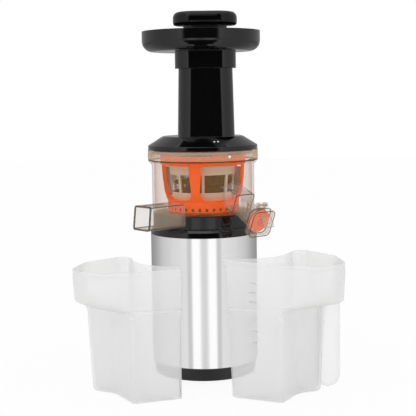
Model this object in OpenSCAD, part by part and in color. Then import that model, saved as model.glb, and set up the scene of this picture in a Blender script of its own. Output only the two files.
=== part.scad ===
// Upright cold press juicer with its pulp jug and juice jug.
// Millimetres, +Z up, the front of the juicer faces -Y.
// The origin is where the drive axis meets the counter.

/* [Base] */
// Outer radius of the steel shell
shell_r = 62.5; // [61.5:0.25:64]
// Wall of the steel shell
shell_wall = 0.8; // [0.6:0.1:1.2]
// Height of the rubber feet under the base ring
foot_h = 1; // [0.8:0.1:1.5]
// Height of the top face of the black base ring
ring_top = 15.9; // [14:0.1:18]
// Height of the upper edge of the steel shell
shell_top = 165.6; // [163:0.2:170]
// Outer radius of the black base ring
ring_r = 59.6; // [58:0.1:60.5]
// Radius of the raised collar that carries the bowl
collar_r = 59.3; // [58.5:0.1:59.6]
// Height of the deck that the bowl stands on
deck_z = 190; // [188:0.2:192]

/* [Motor and gearbox] */
// Distance from the drive axis to the layshaft
lay_offset = 27; // [26:0.25:27.5]
// Radius of the motor shaft
motor_shaft_r = 4; // [3.5:0.1:4.2]
// Outer radius of the rotor core
rotor_r = 25.6; // [24:0.2:26]
// Air gap between rotor and stator
air_gap = 0.4; // [0.3:0.1:0.8]
// Height of the lamination stack
stack_h = 42; // [36:1:44]
// Width across the flats of the lamination stack
stack_w = 88; // [80:1:90]
// Radius of the drive shaft in its seal
drive_r = 8; // [7.6:0.1:8]
// Width across the flats of the hexagonal drive end
hex_w = 12; // [11:0.2:12.4]

/* [Bowl] */
// Outer radius of the bowl wall
bowl_r = 60; // [59:0.25:61]
// Wall of the bowl
bowl_wall = 2.6; // [2:0.1:3]
// Outer radius of the bowl rim band
rim_r = 64.5; // [64:0.25:66]
// Height of the bowl rim
rim_z = 263.4; // [261:0.2:266]
// Height at which the bowl wall turns out into the rim
neck_z = 245.6; // [244:0.2:247]

/* [Spouts] */
// Direction of the pulp spout, degrees from the front, left is negative
pulp_turn = -48; // [-50:1:-46]
// Width of the pulp spout
pulp_w = 29.2; // [27:0.2:30]
// Height of the pulp spout
pulp_h = 27.4; // [26:0.2:28]
// Distance from the axis to the pulp spout mouth, at its top edge
pulp_reach = 102.5; // [98:0.5:108]
// Direction of the juice spout, degrees from the front
juice_turn = 38; // [36:1:40]
// Downward slope of the juice spout in degrees
juice_slope = 23; // [20:1:25]
// Radius of the juice tube at its mouth
juice_mouth_r = 12.4; // [11.8:0.1:12.8]
// Length of the juice tube from its root block
juice_len = 27; // [25:0.5:29]

/* [Straining] */
// Outer radius of the strainer at its foot
strainer_foot_r = 34.6; // [34:0.1:35]
// Outer radius of the strainer at its rim
strainer_top_r = 40; // [39:0.1:40.4]
// Height of the strainer
strainer_h = 45.8; // [43:0.2:47]
// Outer radius of the brush ring at the bottom
brush_ring_r = 41.8; // [41.5:0.1:43]
// Outer radius of the brush ring at the top
brush_top_r = 50; // [49:0.25:51]
// Width of a brush post
post_w = 13.4; // [11:0.2:15]
// Gap between the auger flight and the strainer mesh
flight_gap = 1; // [0.6:0.1:1.6]
// Gear module of the bowl gears
bowl_module = 1.5; // [1.4:0.05:1.5]

/* [Lid and hopper] */
// Outer radius of the lid edge
lid_r = 64; // [63:0.25:64.5]
// Radius of the flat top of the lid
lid_top_r = 47; // [45:0.5:49]
// Height of the flat top of the lid
lid_top_z = 279; // [277:0.5:281]
// Width of the feed tube at its foot
tube_w = 65.2; // [63:0.2:66]
// Depth of the feed tube at its foot, front to back
tube_d = 46; // [44:0.5:47]
// Height of the top edge of the feed tube
tube_top_z = 375.7; // [372:0.5:380]
// Outer radius of the tray
tray_r = 67.9; // [66:0.25:72]
// Height of the rim of the tray
tray_rim_z = 399; // [396:0.5:404]
// Width of the pusher cap
cap_w = 72.7; // [70:0.5:76]
// Height of the top of the pusher
pusher_top_z = 420.2; // [418:0.2:424]
// Length of the pusher below its shoulder
pusher_len = 90; // [80:1:92]

/* [Jugs] */
// Height of the pulp jug
pulp_jug_h = 143; // [138:1:148]
// Height of the juice jug
juice_jug_h = 149.5; // [145:0.5:155]
// Height of the shoulder where the jugs widen
jug_step_z = 100; // [95:1:104]
// Wall of the jugs
jug_wall = 1.8; // [1.5:0.1:2.4]
// Radius of the hollow wall that nests round the base
nest_r = 66; // [65:0.5:68]

/* [Hidden] */

// Clearances and overruns
over = 1;
part_gap = 0.3;
run_gap = 0.05;
wall = 2.6;
ARC = 8;

// Base moulding
ring_wall = 2.8;
cover_t = 2.5;
cover_r = ring_r - ring_wall - part_gap;
foot_r = 7;
foot_ring = 44;
foot_turns = [45, 135, 225, 315];
vent_ring_r = 34;
vent_r = 2.2;
vent_count = 18;
screw_ring = ring_r - 8.6;
screw_r = 1.7;
screw_head_r = 3.2;
ledge_t = 3;
ledge_r = ring_r - 12.6;
spigot_h = 7;
ring_spigot_wall = 1.8;
shell_inner_r = shell_r - shell_wall;
lip_w = 3.4;
flange_h = 6;
flange_step = 0.9;
crown_r = bowl_r;
crown_h = 9.4;
groove_h = 1.1;
groove_depth = 1;
deck_t = 4;
hub_r = 18;
hub_wall = 4;
rib_t = 3;
bolt_ring = shell_inner_r - 7.2;
bolt_r = 1.9;
bolt_head_r = 2.2;
bolt_head_h = 2.5;
bolt_turns = [30, 120, 210, 300];
boss_r = 3.6;
crown_round = 2;
collar_round = 1;

// Motor, from the bottom up
cover_top = foot_h + cover_t;
shaft_foot_z = 17.5;
fan_z = 18.5;
fan_h = 7;
fan_r = 40;
fan_hub_r = 9;
fan_blades = 9;
fan_blade_t = 1.6;
bracket_z = 29;
bracket_t = 4;
bracket_leg_r = 3.6;
arm_w = 4.4;
winding_h = 12;
stack_z = bracket_z + bracket_t + winding_h + 1;
stack_top = stack_z + stack_h;
upper_bracket_z = stack_top + winding_h + 1;
plate_z = upper_bracket_z + bracket_t;
plate_t = 4;
plate_r = shell_inner_r - 5.7;
stator_bore = rotor_r + air_gap;
winding_r = 39;
slot_count = 24;
slot_w = 3.2;
slot_depth = 11;
leg_ring = shell_inner_r - 14.7;
leg_turns = [45, 135, 225, 315];
bearing_r = 11;
bearing_h = 7;
cap_size = [13, 32, 30];
block_size = [26, 10, 14];
block_room = 3;
block_pitch = 8;
block_hole_r = 2;
stack_round_share = 0.59;
winding_in = 1;
winding_round = 2;
slot_back = 2;
bracket_rim = 2;
race_w = 2;
race_sunk = 0.6;
cap_lift = 4;
clip_back = 6;
clip_front = 4;
clip_t = 1.2;
clip_h = 12;
end_ring_h = 4;
end_ring_edge = 1.5;
end_ring_in = 7;
fan_disc_share = 0.8;
fan_disc_t = 1.5;

// Gears of the gearbox: both stages share one centre distance
pressure = 25;
crown = 0.8;
root = 1.05;
stage1 = [12, 60];
stage2 = [10, 50];
stage1_m = 2 * lay_offset / (stage1[0] + stage1[1]);
stage2_m = 2 * lay_offset / (stage2[0] + stage2[1]);
gear_play = 0.1;
lay_turn = 45;
stage1_z = plate_z + plate_t + 1;
stage1_h = 6;
stage2_z = stage1_z + stage1_h + 1.5;
stage2_h = 8.5;
pin_r = 3;
box_top = deck_z - 40;
box_wall = 3;
box_side = 1.8;
box_r = shell_inner_r - 9.3;
box_screw_turns = [0, 90, 180, 270];
box_screw_ring = box_r - box_wall;
drive_foot_r = 6;
drive_foot_z = stage2_z - 0.6;
drive_step_z = stage2_z + stage2_h;
out_bearing_z = drive_step_z + part_gap;
out_bearing_h = box_top - out_bearing_z;
out_bearing_r = 14;
seal_h = 3.5;
seal_r = 12;
drive_round_z = deck_z + 16.5;
drive_top_z = deck_z + 36;
drive_tip = 1.5;
shaft_room = 1.5;
pin_boss_h = 2;
box_rib_t = 3;
lay_shoulder_r = 7;
lay_shoulder_h = 0.5;
lay_web_r = 18;
lay_web_in = 8;
lay_web_sunk = 1.5;
out_hole_ring = 14;
out_hole_r = 3.4;

// Bowl inside
floor_z = deck_z + part_gap;
floor_t = 1.8;
bowl_floor = floor_z + floor_t;
bowl_inner_r = bowl_r - bowl_wall;
rim_wall = 2.5;
neck_h = 5.4;
seal_z = neck_z + 3.4;
seal_w = 3;
tower_r = 11;
tower_bore = drive_r + 0.5;
tower_top = deck_z + 16;
gear_z = deck_z + 8.2;
gear_h = 5.2;
sun_teeth = 20;
idler_teeth = 14;
ring_teeth = sun_teeth + 2 * idler_teeth;
idler_ring = bowl_module * (sun_teeth + idler_teeth) / 2;
idler_turn = 90;
pillar_turns = [0, 180, 270];
pillar_r = 3.4;
strainer_z = deck_z + 14.2;
plate_h = 2.3;
strainer_wall = 2.2;
mesh_t = 0.6;
strainer_top_z = strainer_z + strainer_h;
window_low = strainer_z + 10.4;
window_high = strainer_z + 30.8;
strainer_ribs = 8;
rib_turn = 5;
flare_shares = [0, 0.24, 0.9, 1];
flare_r_shares = [0, 0.48, 1, 1];
auger_z = strainer_z + 3.3;
auger_skirt_r = bowl_module * sun_teeth / 2 - 1.9;
auger_top_z = rim_z - 1.4;
auger_pin_top = lid_top_z - 8;
auger_pin_r = 4;
bush_r = 6.2;
dot_turn = 27.9;
dot_z = 257.2;
dot_r = 1.6;
dot_t = 0.6;
bowl_foot_round = 1.5;
floor_round = 3;
floor_round_mid = 1;
seal_shelf = 2.4;
idler_pad_r = 5.4;
shaft_seal_h = 6;
shaft_seal_lip = 0.4;
sun_play = 0.4;
seal_in = 0.4;
seal_taper = 0.1;
seal_lip = 0.7;
seal_lip_h = 1.3;
seal_top_h = 2.1;
skirt_gap = 0.8;
strainer_lip = 2;
pulp_hole = [9, 12];
pulp_hole_r = 20;
mesh_hem = 1.4;
core_r = [26, 25, 20, 15, 11.5, 8];
core_h = [0, 4, 14, 30];
core_tip_h = 6;
hex_play = 0.2;
flight_low = 0.5;
flight_end = 4;
flight2_h = 32;
flight_root_r = 8.9;
flight_sunk = 2;
flight_start_r = 12;
flight_t = 2.4;
flight_tip_t = 1.2;
flight_tilt = 1;

// Brush
brush_z = bowl_floor + part_gap;
brush_ring_top = deck_z + 14;
brush_wall = 3.9;
brush_top_z = 257;
brush_top_h = 11;
brush_low_z = 214;
brush_high_z = 233;
brush_low_r = 45.8;
brush_high_r = 48;
brush_posts = [-11, 79, 169, 259];
notch_count = 32;
notch_w = 3.2;
notch_low = brush_z + 1.2;
notch_high = notch_low + 3.6;
brush_fillet = 11;
blade_turn = 2.6;
blade_low = strainer_z + 5;
blade_high = 243;
blade_lean = 0.4;
blade_foot = 2.4;
brush_flare = 0.6;
brush_lip = 1;
ring_lip = 3;
window_foot = 2;
window_head = 3;
window_corner = 2;

// Spouts
spout_wall = 2.2;
chute_gap = 0.03;
spout_corner = 3.6;
pulp_side = 14.1;
pulp_top_z = 205.5;
pulp_lean = 3;
juice_side = -3;
juice_start = 75;
juice_z = 200;
juice_root_r = 10.7;
juice_bore = 8.4;
block_w = 27;
block_h = 24;
block_lift = 5;
flange_t = 2;
flange_r = 14;
ear_t = 3;
ear_gap = 9;
hinge_r = 1.2;
hinge_lift = flange_r + 4;
hinge_ear_r = 3;
plug_r = 12;
plug_neck_r = juice_bore - 0.4;
plug_neck_h = 3;
gasket_t = 1.6;
cover_w = 31;
cover_drop = 17;
cover_rise = 14.6;
cover_depth = 10;
cover_wall = 1.5;
tab_w = 15;
tab_len = 17;
tab_slope = 42;
tab_t = 2;
ear_sunk = 3;
block_in = 26;
block_room_in = 30;
cover_start = 2;
cover_corner = 6;
cover_inner_corner = 5;
cover_stub_r = 4;
plug_face_t = 1;
plug_back = 2.6;
plug_draft = 1;
gasket_sunk = 2;
gasket_proud = 0.5;

// Lid and hopper
lid_z = rim_z + part_gap;
lid_edge_h = 4.6;
lid_edge_in = 1;
lid_edge_rise = 0.6;
lid_wall = 2.5;
skirt_r = 57;
skirt_z = 253.6;
lug_count = 3;
lug_turn = 14;
lug_r = 61;
lug_h = 2.2;
hook_turn = 16;
hook_r = 59.6;
hook_z = skirt_z + lug_h + part_gap;
hook_h = 1.8;
hook_start = 60;
tube_x = 4.4;
tube_y = -22;
tube_taper = 4.4;
tube_corner = 20;
tube_wall = 3.2;
boss_top_r = 9.5;
mark_turns = [14, 18.5];
lid_slope = atan((lid_top_z - lid_z - lid_edge_h - lid_edge_rise)
    / (lid_r - lid_edge_in - lid_top_r));
collar_w = 69.5;
collar_d = 50.6;
collar_foot_z = 356.6;
tray_x = -0.5;
tray_y = -11;
tray_foot_z = tube_top_z + part_gap;
tray_curve = 12;
tray_wall = 2.8;
tray_floor = tray_foot_z + tray_wall;
stem_w = 49.3;
stem_d = 33;
stem_corner = 14;
shoulder_w = 62;
shoulder_d = 43;
shoulder_h = 3.2;
shoulder_z = tray_floor + part_gap;
cap_d = 54;
cap_foot_z = 404.6;
cap_corner = 25;
cap_insets = [6, 0, 0, 3, 8, 14];
cap_foot_round = 2;
cap_rise_shares = [0.6, 0.85, 0.97, 1];
collar_corner = 22;
collar_play = 0.4;
collar_share = 0.8;
shoulder_corner = 18;
stem_floor = 3;
bush_low = 2;
pin_room = 1;
lid_seal_t = 1.4;
lid_seal_low = 4.5;
lid_seal_high = 2;
lock_dot_r = 1.1;

// Rocker switch and cord gland at the back
switch_z = 70;
switch_w = 25.4;
switch_h = 19.4;
switch_depth = 13;
switch_lip = 2.4;
switch_proud = 2.2;
rocker_w = 16;
rocker_h = 12;
rocker_r = 9;
rocker_pin_r = 1.5;
gland_z = 34;
gland_r = 6;
gland_head_r = 8.5;
gland_bore = 3.6;
gland_in = 8;
gland_joint = 0.2;
gland_head_h = 4.5;
gland_nut_h = 5;
rocker_room = 2;
rocker_cut = 3;
rocker_dish_shares = [2.4, 1.7];
switch_side = 1;

// Jugs, in the frame of a jug that is nested round the base
jug_draft = 4.5;
jug_floor = 2.2;
jug_foot = 3;
jug_waist = 11;
lobe = [49, 46];
nest_turn = 40;
heel_turn = 32;
heel_back = 57;
lip_drop = 9;
pulp_pull = 44.5;
pulp_shift = 25.6;
juice_pull = 54.6;
juice_shift = 0;
juice_lip_rise = 1.5;
juice_lip_flare = 4;
jug_bead = 0.8;
jug_rise = 9;
jug_near = 90;
jug_slope_run = 60;
pulp_jug_reach = 145;
juice_jug_reach = 153;
pulp_heel = [114, -54];
pulp_front = [113, 34];
pulp_tip = [57, 53];
juice_heel = [110, -47];
juice_front = [116, 30];
juice_tip = [54, 56];
grip_w = 27.5;
grip_t = 6;
grip_y = -44.75;
grip_low = 7;
grip_top = 105;
grip_corner = 11;
grip_sunk = 3.2;
lobe_lead = 3;
jug_side = -62;
jug_shoulder = [104, -60];
jug_far_y = -30;
jug_corners = [8, 34, 30, 34, 3];
heel_drop = 2;
heel_corners = [4, 7, 30, 5, 3];
pour_centre = [52, 58];
pour_reach = 60;
ledge_low = 8;
ledge_high = 7;
step_low = 2;
far_draft = 1;

$fn = 96;

// Helpers

function unit(v) = v / norm(v);
function polar(r, a) = [r * cos(a), r * sin(a)];
function arc(centre, r, from, to, n = ARC) =
    [for (i = [0 : n]) centre + polar(r, from + (to - from) * i / n)];
function lift(points, z) = [for (p = points) [p.x, p.y, z]];

// Points that round the corner b between its neighbours a and c
function fillet(a, b, c, r, n) =
    let (u = unit(a - b), v = unit(c - b), half = acos(u * v) / 2,
        from = b + u * r / tan(half), to = b + v * r / tan(half),
        centre = b + unit(u + v) * r / sin(half),
        start = atan2(from.y - centre.y, from.x - centre.x),
        stop = atan2(to.y - centre.y, to.x - centre.x),
        turn = (stop - start + 540) % 360 - 180)
    arc(centre, r, start, start + turn, n);

// Outline through corners [x, y, radius]
function rounded(corners, n = 5) =
    let (count = len(corners))
    [for (i = [0 : count - 1])
        let (a = corners[(i + count - 1) % count], b = corners[i], c = corners[(i + 1) % count])
        each fillet([a.x, a.y], [b.x, b.y], [c.x, c.y], b.z, n)];

function box_corners(w, d, r) =
    [[-w / 2, -d / 2, r], [w / 2, -d / 2, r], [w / 2, d / 2, r], [-w / 2, d / 2, r]];
function box_ring(w, d, r, z) = lift(rounded(box_corners(w, d, r)), z);

// Solid through rings of equal count that run anticlockwise, seen from the last ring
module loft(rings) {
    count = len(rings[0]);
    last = (len(rings) - 1) * count;
    sides = [for (k = [0 : count : last - count]) for (i = [0 : count - 1])
        let (j = (i + 1) % count)
        each [[k + i, k + count + i, k + count + j], [k + i, k + count + j, k + j]]];
    foot = [for (i = [0 : count - 1]) i];
    head = [for (i = [0 : count - 1]) last + count - 1 - i];
    polyhedron([for (ring = rings) each ring], concat([foot], sides, [head]), 8);
}

module plate(w, d, r) {
    union() {
        square([w - 2 * r, d], center = true);
        square([w, d - 2 * r], center = true);
        for (x = [-1, 1], y = [-1, 1])
            translate([x * (w / 2 - r), y * (d / 2 - r)])
                circle(r);
    }
}

module post(r, low, high) {
    translate([0, 0, low])
        cylinder(r = r, h = high - low);
}

module tube(r, bore, low, high) {
    difference() {
        post(r, low, high);
        post(bore, low - over, high + over);
    }
}

module around(turns, ring) {
    for (a = turns)
        rotate([0, 0, a])
            translate([ring, 0, 0])
                children();
}

// Half the angle of a gear tooth at radius r
function roll(base, r) =
    let (a = acos(min(1, base / r)))
    tan(a) * 180 / PI - a;
function half_tooth(teeth, pitch, play, r) =
    let (base = pitch * cos(pressure))
    90 / teeth - play / pitch * 180 / PI + roll(base, pitch) - roll(base, r);
function gear_points(teeth, m, play, add, ded) =
    let (pitch = m * teeth / 2, top = pitch + add * m, foot = pitch - ded * m,
        base = max(foot, pitch * cos(pressure)),
        steps = [foot, base + (pitch - base) / 3, pitch + (top - pitch) / 3, top])
    [for (k = [0 : teeth - 1]) each concat(
        [for (r = steps) polar(r, 360 * k / teeth - half_tooth(teeth, pitch, play, r))],
        [for (i = [3 : -1 : 0])
            polar(steps[i], 360 * k / teeth + half_tooth(teeth, pitch, play, steps[i]))])];

module gear(teeth, m, low, h, turn = 0) {
    translate([0, 0, low])
        rotate([0, 0, turn])
            linear_extrude(h)
                polygon(gear_points(teeth, m, gear_play, crown, root));
}

// Base

module base_ring() {
    color("#2e2e2e")
    difference() {
        base_ring_wall();
        around(bolt_turns, screw_ring)
            post(screw_r, 0, cover_top + ledge_t + over);
    }
}

module base_ring_wall() {
    rotate_extrude()
        polygon([
            [ring_r, foot_h], [ring_r, ring_top - lip_w], [ring_r + lip_w / 2, ring_top],
            [shell_inner_r - lip_w - run_gap, ring_top],
            [shell_inner_r - lip_w - run_gap, ring_top + spigot_h],
            [shell_inner_r - lip_w - ring_spigot_wall, ring_top + spigot_h],
            [ring_r - ring_wall, ring_top - lip_w],
            [ring_r - ring_wall, cover_top + ledge_t],
            [ledge_r, cover_top + ledge_t], [ledge_r, cover_top],
            [ring_r - ring_wall, cover_top], [ring_r - ring_wall, foot_h]]);
}

module bottom_cover() {
    color("#262626")
    difference() {
        union() {
            post(cover_r, foot_h, cover_top);
            tube(hub_r, hub_r - wall, cover_top, cover_top + ledge_t);
        }
        around([for (i = [0 : vent_count - 1]) 360 * i / vent_count], vent_ring_r)
            post(vent_r, -over, cover_top + over);
        around(foot_turns, foot_ring)
            post(foot_r - over, foot_h - over, foot_h + cover_t / 2);
        around(bolt_turns, screw_ring)
            post(screw_r, -over, cover_top + over);
        around(bolt_turns, screw_ring)
            post(screw_head_r, -over, foot_h + cover_t / 2);
    }
}

module rubber_feet() {
    color("#161616")
    around(foot_turns, foot_ring) {
        post(foot_r, 0, foot_h);
        post(foot_r - over, foot_h, foot_h + cover_t / 2);
    }
}

module cover_screws() {
    color("#b8bcc0")
    around(bolt_turns, screw_ring)
        difference() {
            union() {
                post(screw_r, foot_h + cover_t / 2, cover_top + ledge_t);
                post(screw_head_r, foot_h + screw_r / 4, foot_h + cover_t / 2);
            }
            translate([0, 0, foot_h])
                cube([screw_head_r, screw_r / 2, screw_r], center = true);
        }
}

module tie_bolts() {
    color("#9aa0a6")
    around(bolt_turns, bolt_ring) {
        post(bolt_r, cover_top + ledge_t, shell_top - flange_h);
        post(bolt_head_r, cover_top + ledge_t, cover_top + ledge_t + bolt_head_h);
    }
}

module steel_shell() {
    color("#c9cbcc")
    difference() {
        union() {
            tube(shell_r, shell_inner_r, ring_top, shell_top);
            tube(shell_r, shell_inner_r - lip_w, ring_top, ring_top + shell_wall);
        }
        translate([0, shell_r, switch_z])
            cube([switch_w + part_gap, shell_r, switch_h + part_gap], center = true);
        translate([0, shell_r, gland_z])
            rotate([90, 0, 0])
                cylinder(r = gland_r + run_gap, h = shell_r, center = true);
    }
}

module base_top() {
    crown_z = shell_top + crown_h;
    color("#141414")
    difference() {
        union() {
            rotate_extrude()
                polygon(concat(
                    [[shell_inner_r - run_gap, shell_top - flange_h],
                        [shell_inner_r - run_gap, shell_top], [shell_r, shell_top],
                        [shell_r - flange_step, shell_top + flange_h]],
                    arc([crown_r - crown_round, crown_z - crown_round], crown_round, 20, 90, 4),
                    [[collar_r - groove_depth, crown_z],
                        [collar_r - groove_depth, crown_z + groove_h],
                        [collar_r, crown_z + groove_h], [collar_r, deck_z - collar_round],
                        [collar_r - collar_round, deck_z], [0, deck_z], [0, deck_z - deck_t],
                        [collar_r - wall - collar_round, deck_z - deck_t],
                        [collar_r - wall - collar_round, shell_top + wall],
                        [shell_inner_r - wall, shell_top],
                        [shell_inner_r - wall, shell_top - flange_h]]));
            tube(hub_r, hub_r - hub_wall, box_top, deck_z - deck_t);
            for (a = [15 : 60 : 315])
                rotate([0, 0, a])
                    translate([hub_r - over, -rib_t / 2, box_top + over])
                        cube([collar_r - wall - hub_r, rib_t, deck_z - deck_t - box_top - over]);
            around(bolt_turns, bolt_ring)
                post(boss_r, shell_top - 2 * flange_h, deck_z - deck_t);
            post(seal_r + wall, deck_z - 3 * deck_t, deck_z);
        }
        post(drive_r + part_gap, box_top - over, deck_z + over);
        post(seal_r, deck_z - seal_h, deck_z + over);
        around(bolt_turns, bolt_ring)
            post(bolt_r, shell_top - 3 * flange_h, shell_top - flange_h);
    }
}

// Motor

module motor_stator() {
    color("#8d9196")
    difference() {
        intersection() {
            translate([-stack_w / 2, -stack_w / 2, stack_z])
                cube([stack_w, stack_w, stack_h]);
            post(stack_w * stack_round_share, stack_z - over, stack_top + over);
        }
        post(stator_bore, stack_z - over, stack_top + over);
        for (a = [0 : slot_count - 1])
            rotate([0, 0, 360 * a / slot_count])
                translate([stator_bore - over, -slot_w / 2, stack_z - over])
                    cube([slot_depth + over, slot_w, stack_h + 2 * over]);
        around(leg_turns, leg_ring)
            post(bracket_leg_r / 2, stack_z - over, stack_top + over);
    }
}

module stator_windings() {
    inner = stator_bore + winding_in;
    color("#b8632f") {
        for (z = [stack_z - winding_h, stack_top])
            translate([0, 0, z])
                rotate_extrude()
                    translate([inner, 0])
                        polygon(rounded([[0, 0, winding_round], [winding_r - inner, 0, winding_round],
                            [winding_r - inner, winding_h, 2 * winding_round],
                            [0, winding_h, 2 * winding_round]]));
        for (a = [0 : slot_count - 1])
            rotate([0, 0, 360 * a / slot_count])
                translate([inner, -slot_w / 2 + run_gap, stack_z])
                    cube([slot_depth - slot_back, slot_w - 2 * run_gap, stack_h]);
    }
}

module bracket(low, leg_low, leg_high) {
    difference() {
        union() {
            for (a = leg_turns)
                rotate([0, 0, a])
                    translate([bearing_r, -arm_w / 2, low])
                        cube([leg_ring - bearing_r, arm_w, bracket_t]);
            post(bearing_r + wall, low - bearing_h + bracket_t, low + bracket_t);
            around(leg_turns, leg_ring)
                post(bracket_leg_r, leg_low, leg_high);
            tube(leg_ring + bracket_rim, leg_ring - bracket_rim, low, low + bracket_t);
        }
        post(bearing_r, low - bearing_h, low + 2 * bearing_h);
    }
}

module lower_bracket() {
    color("#a3a7ab")
        bracket(bracket_z, cover_top + ledge_t, stack_z);
}

module upper_bracket() {
    color("#a3a7ab")
        bracket(upper_bracket_z, stack_top, plate_z);
}

module bearing(low) {
    color("#cfd2d4")
    translate([0, 0, low])
        rotate_extrude()
            polygon([[motor_shaft_r + run_gap, 0], [bearing_r, 0], [bearing_r, bearing_h],
                [bearing_r - race_w, bearing_h], [bearing_r - race_w, bearing_h - race_sunk],
                [motor_shaft_r + race_w, bearing_h - race_sunk],
                [motor_shaft_r + race_w, bearing_h],
                [motor_shaft_r + run_gap, bearing_h]]);
}

module lower_bearing() {
    bearing(bracket_z + bracket_t - bearing_h);
}

module upper_bearing() {
    bearing(upper_bracket_z + bracket_t - bearing_h);
}

module run_capacitor() {
    color("#d8d4c8")
    translate([stack_w / 2 + part_gap, -cap_size.y / 2, stack_z + cap_lift])
        cube(cap_size);
}

module capacitor_clip() {
    x = stack_w / 2;
    color("#6f7478")
    difference() {
        translate([x - clip_back, -cap_size.y / 2 - clip_t, stack_z - clip_t])
            cube([cap_size.x + clip_front, cap_size.y + 2 * clip_t, clip_h]);
        translate([x, -cap_size.y / 2, stack_z + cap_lift])
            cube(cap_size + [over, 0, 0]);
        translate([-over, -stack_w / 2, stack_z])
            cube([x + over, stack_w, stack_h]);
        translate([x + part_gap, -cap_size.y / 2, stack_z])
            cube(cap_size + [over, 0, 0]);
    }
}

module terminal_block() {
    color("#e6e2d6")
    difference() {
        translate([-block_size.x / 2, fan_r + block_room, cover_top + ledge_t])
            cube(block_size);
        for (x = [-block_pitch, 0, block_pitch])
            translate([x, fan_r + block_room + block_size.y / 2, cover_top + block_size.z])
                cylinder(r = block_hole_r, h = block_size.z);
    }
}

module rotor_core() {
    color("#7d8186")
    difference() {
        union() {
            post(rotor_r, stack_z, stack_top);
            tube(rotor_r - end_ring_edge, rotor_r - end_ring_in, stack_z - end_ring_h,
                stack_top + end_ring_h);
        }
        post(motor_shaft_r, stack_z - 2 * end_ring_h, stack_top + 2 * end_ring_h);
    }
}

module motor_shaft() {
    color("#c4c7ca")
    union() {
        post(motor_shaft_r, shaft_foot_z, stage1_z);
        gear(stage1[0], stage1_m, stage1_z, stage1_h, lay_turn);
    }
}

module cooling_fan() {
    color("#3a3f44")
    difference() {
        union() {
            post(fan_hub_r, fan_z, fan_z + fan_h);
            post(fan_r * fan_disc_share, fan_z + fan_h - fan_disc_t, fan_z + fan_h);
            for (a = [0 : fan_blades - 1])
                rotate([0, 0, 360 * a / fan_blades])
                    translate([fan_hub_r - over, -fan_blade_t / 2, fan_z])
                        cube([fan_r - fan_hub_r, fan_blade_t, fan_h]);
        }
        post(motor_shaft_r, fan_z - over, fan_z + fan_h + over);
    }
}

// Gearbox

module gearbox_plate() {
    color("#b0b3b6")
    difference() {
        post(plate_r, plate_z, plate_z + plate_t);
        post(motor_shaft_r + shaft_room, plate_z - over, plate_z + plate_t + over);
        around([lay_turn], lay_offset)
            post(pin_r, plate_z + plate_t / 2, plate_z + 2 * plate_t);
        around(box_screw_turns, box_screw_ring)
            post(screw_r, plate_z - over, plate_z + 2 * plate_t);
        around(box_screw_turns, box_screw_ring)
            post(screw_head_r, plate_z - over, plate_z + plate_t / 2);
        around(bolt_turns, bolt_ring)
            post(bolt_r + run_gap, plate_z - over, plate_z + 2 * plate_t);
    }
}

module gearbox_cover() {
    inside_top = out_bearing_z;
    color("#a9acb0")
    difference() {
        union() {
            post(box_r, plate_z + plate_t, inside_top + box_wall);
            post(out_bearing_r + box_wall, inside_top, box_top);
            around([lay_turn], lay_offset)
                post(2 * pin_r, inside_top, inside_top + box_wall + pin_boss_h);
            for (a = [30 : 60 : 330])
                rotate([0, 0, a])
                    translate([out_bearing_r, -box_rib_t / 2, inside_top])
                        cube([box_r - out_bearing_r - box_rib_t, box_rib_t, 2 * box_wall]);
        }
        difference() {
            post(box_r - box_side, plate_z + plate_t - over, inside_top);
            around(box_screw_turns, box_screw_ring)
                post(2 * screw_r, plate_z, inside_top);
        }
        post(out_bearing_r, inside_top - over, box_top + over);
        around([lay_turn], lay_offset)
            post(pin_r, inside_top - over, inside_top + box_wall);
        around(box_screw_turns, box_screw_ring)
            post(screw_r, plate_z, inside_top + over);
    }
}

module gearbox_screws() {
    color("#9aa0a6")
    around(box_screw_turns, box_screw_ring) {
        post(screw_r, plate_z + plate_t / 2, out_bearing_z);
        post(screw_head_r - run_gap, plate_z, plate_z + plate_t / 2);
    }
}

module layshaft_pin() {
    color("#c4c7ca")
    around([lay_turn], lay_offset)
        post(pin_r, plate_z + plate_t / 2, out_bearing_z + box_wall);
}

module layshaft_gear() {
    stage1_top = stage1_z + stage1_h;
    pinion_z = stage1_top + lay_shoulder_h;
    color("#d9cfae")
    around([lay_turn], lay_offset)
        difference() {
            union() {
                gear(stage1[1], stage1_m, stage1_z, stage1_h, 180 + 180 / stage1[1]);
                post(lay_shoulder_r, stage1_top, pinion_z);
                gear(stage2[0], stage2_m, pinion_z, stage2_z + stage2_h - pinion_z, 180);
            }
            post(pin_r + run_gap, plate_z, box_top);
            tube(lay_web_r, lay_web_in, stage1_top - lay_web_sunk, stage1_top + over);
        }
}

module output_gear() {
    color("#b9bdc1")
    difference() {
        gear(stage2[1], stage2_m, stage2_z, stage2_h, lay_turn + 180 / stage2[1]);
        post(drive_foot_r, stage2_z - over, stage2_z + stage2_h + over);
        around([0 : 60 : 300], out_hole_ring)
            post(out_hole_r, stage2_z - over, stage2_z + stage2_h + over);
    }
}

module drive_shaft() {
    color("#d5d8da") {
        post(drive_foot_r, drive_foot_z, drive_step_z);
        post(drive_r, drive_step_z, drive_round_z);
        translate([0, 0, drive_round_z])
            cylinder(d = hex_w / cos(30), h = drive_top_z - drive_round_z - drive_tip,
                $fn = 6);
        translate([0, 0, drive_top_z - drive_tip])
            cylinder(r1 = hex_w / 2, r2 = hex_w / 2 - drive_tip, h = drive_tip);
    }
}

module output_bearing() {
    color("#cfd2d4")
    translate([0, 0, out_bearing_z])
        rotate_extrude()
            polygon([[drive_r + run_gap, 0], [out_bearing_r, 0], [out_bearing_r, out_bearing_h],
                [out_bearing_r - race_w, out_bearing_h],
                [out_bearing_r - race_w, out_bearing_h - race_sunk],
                [drive_r + race_w, out_bearing_h - race_sunk],
                [drive_r + race_w, out_bearing_h],
                [drive_r + run_gap, out_bearing_h]]);
}

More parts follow.
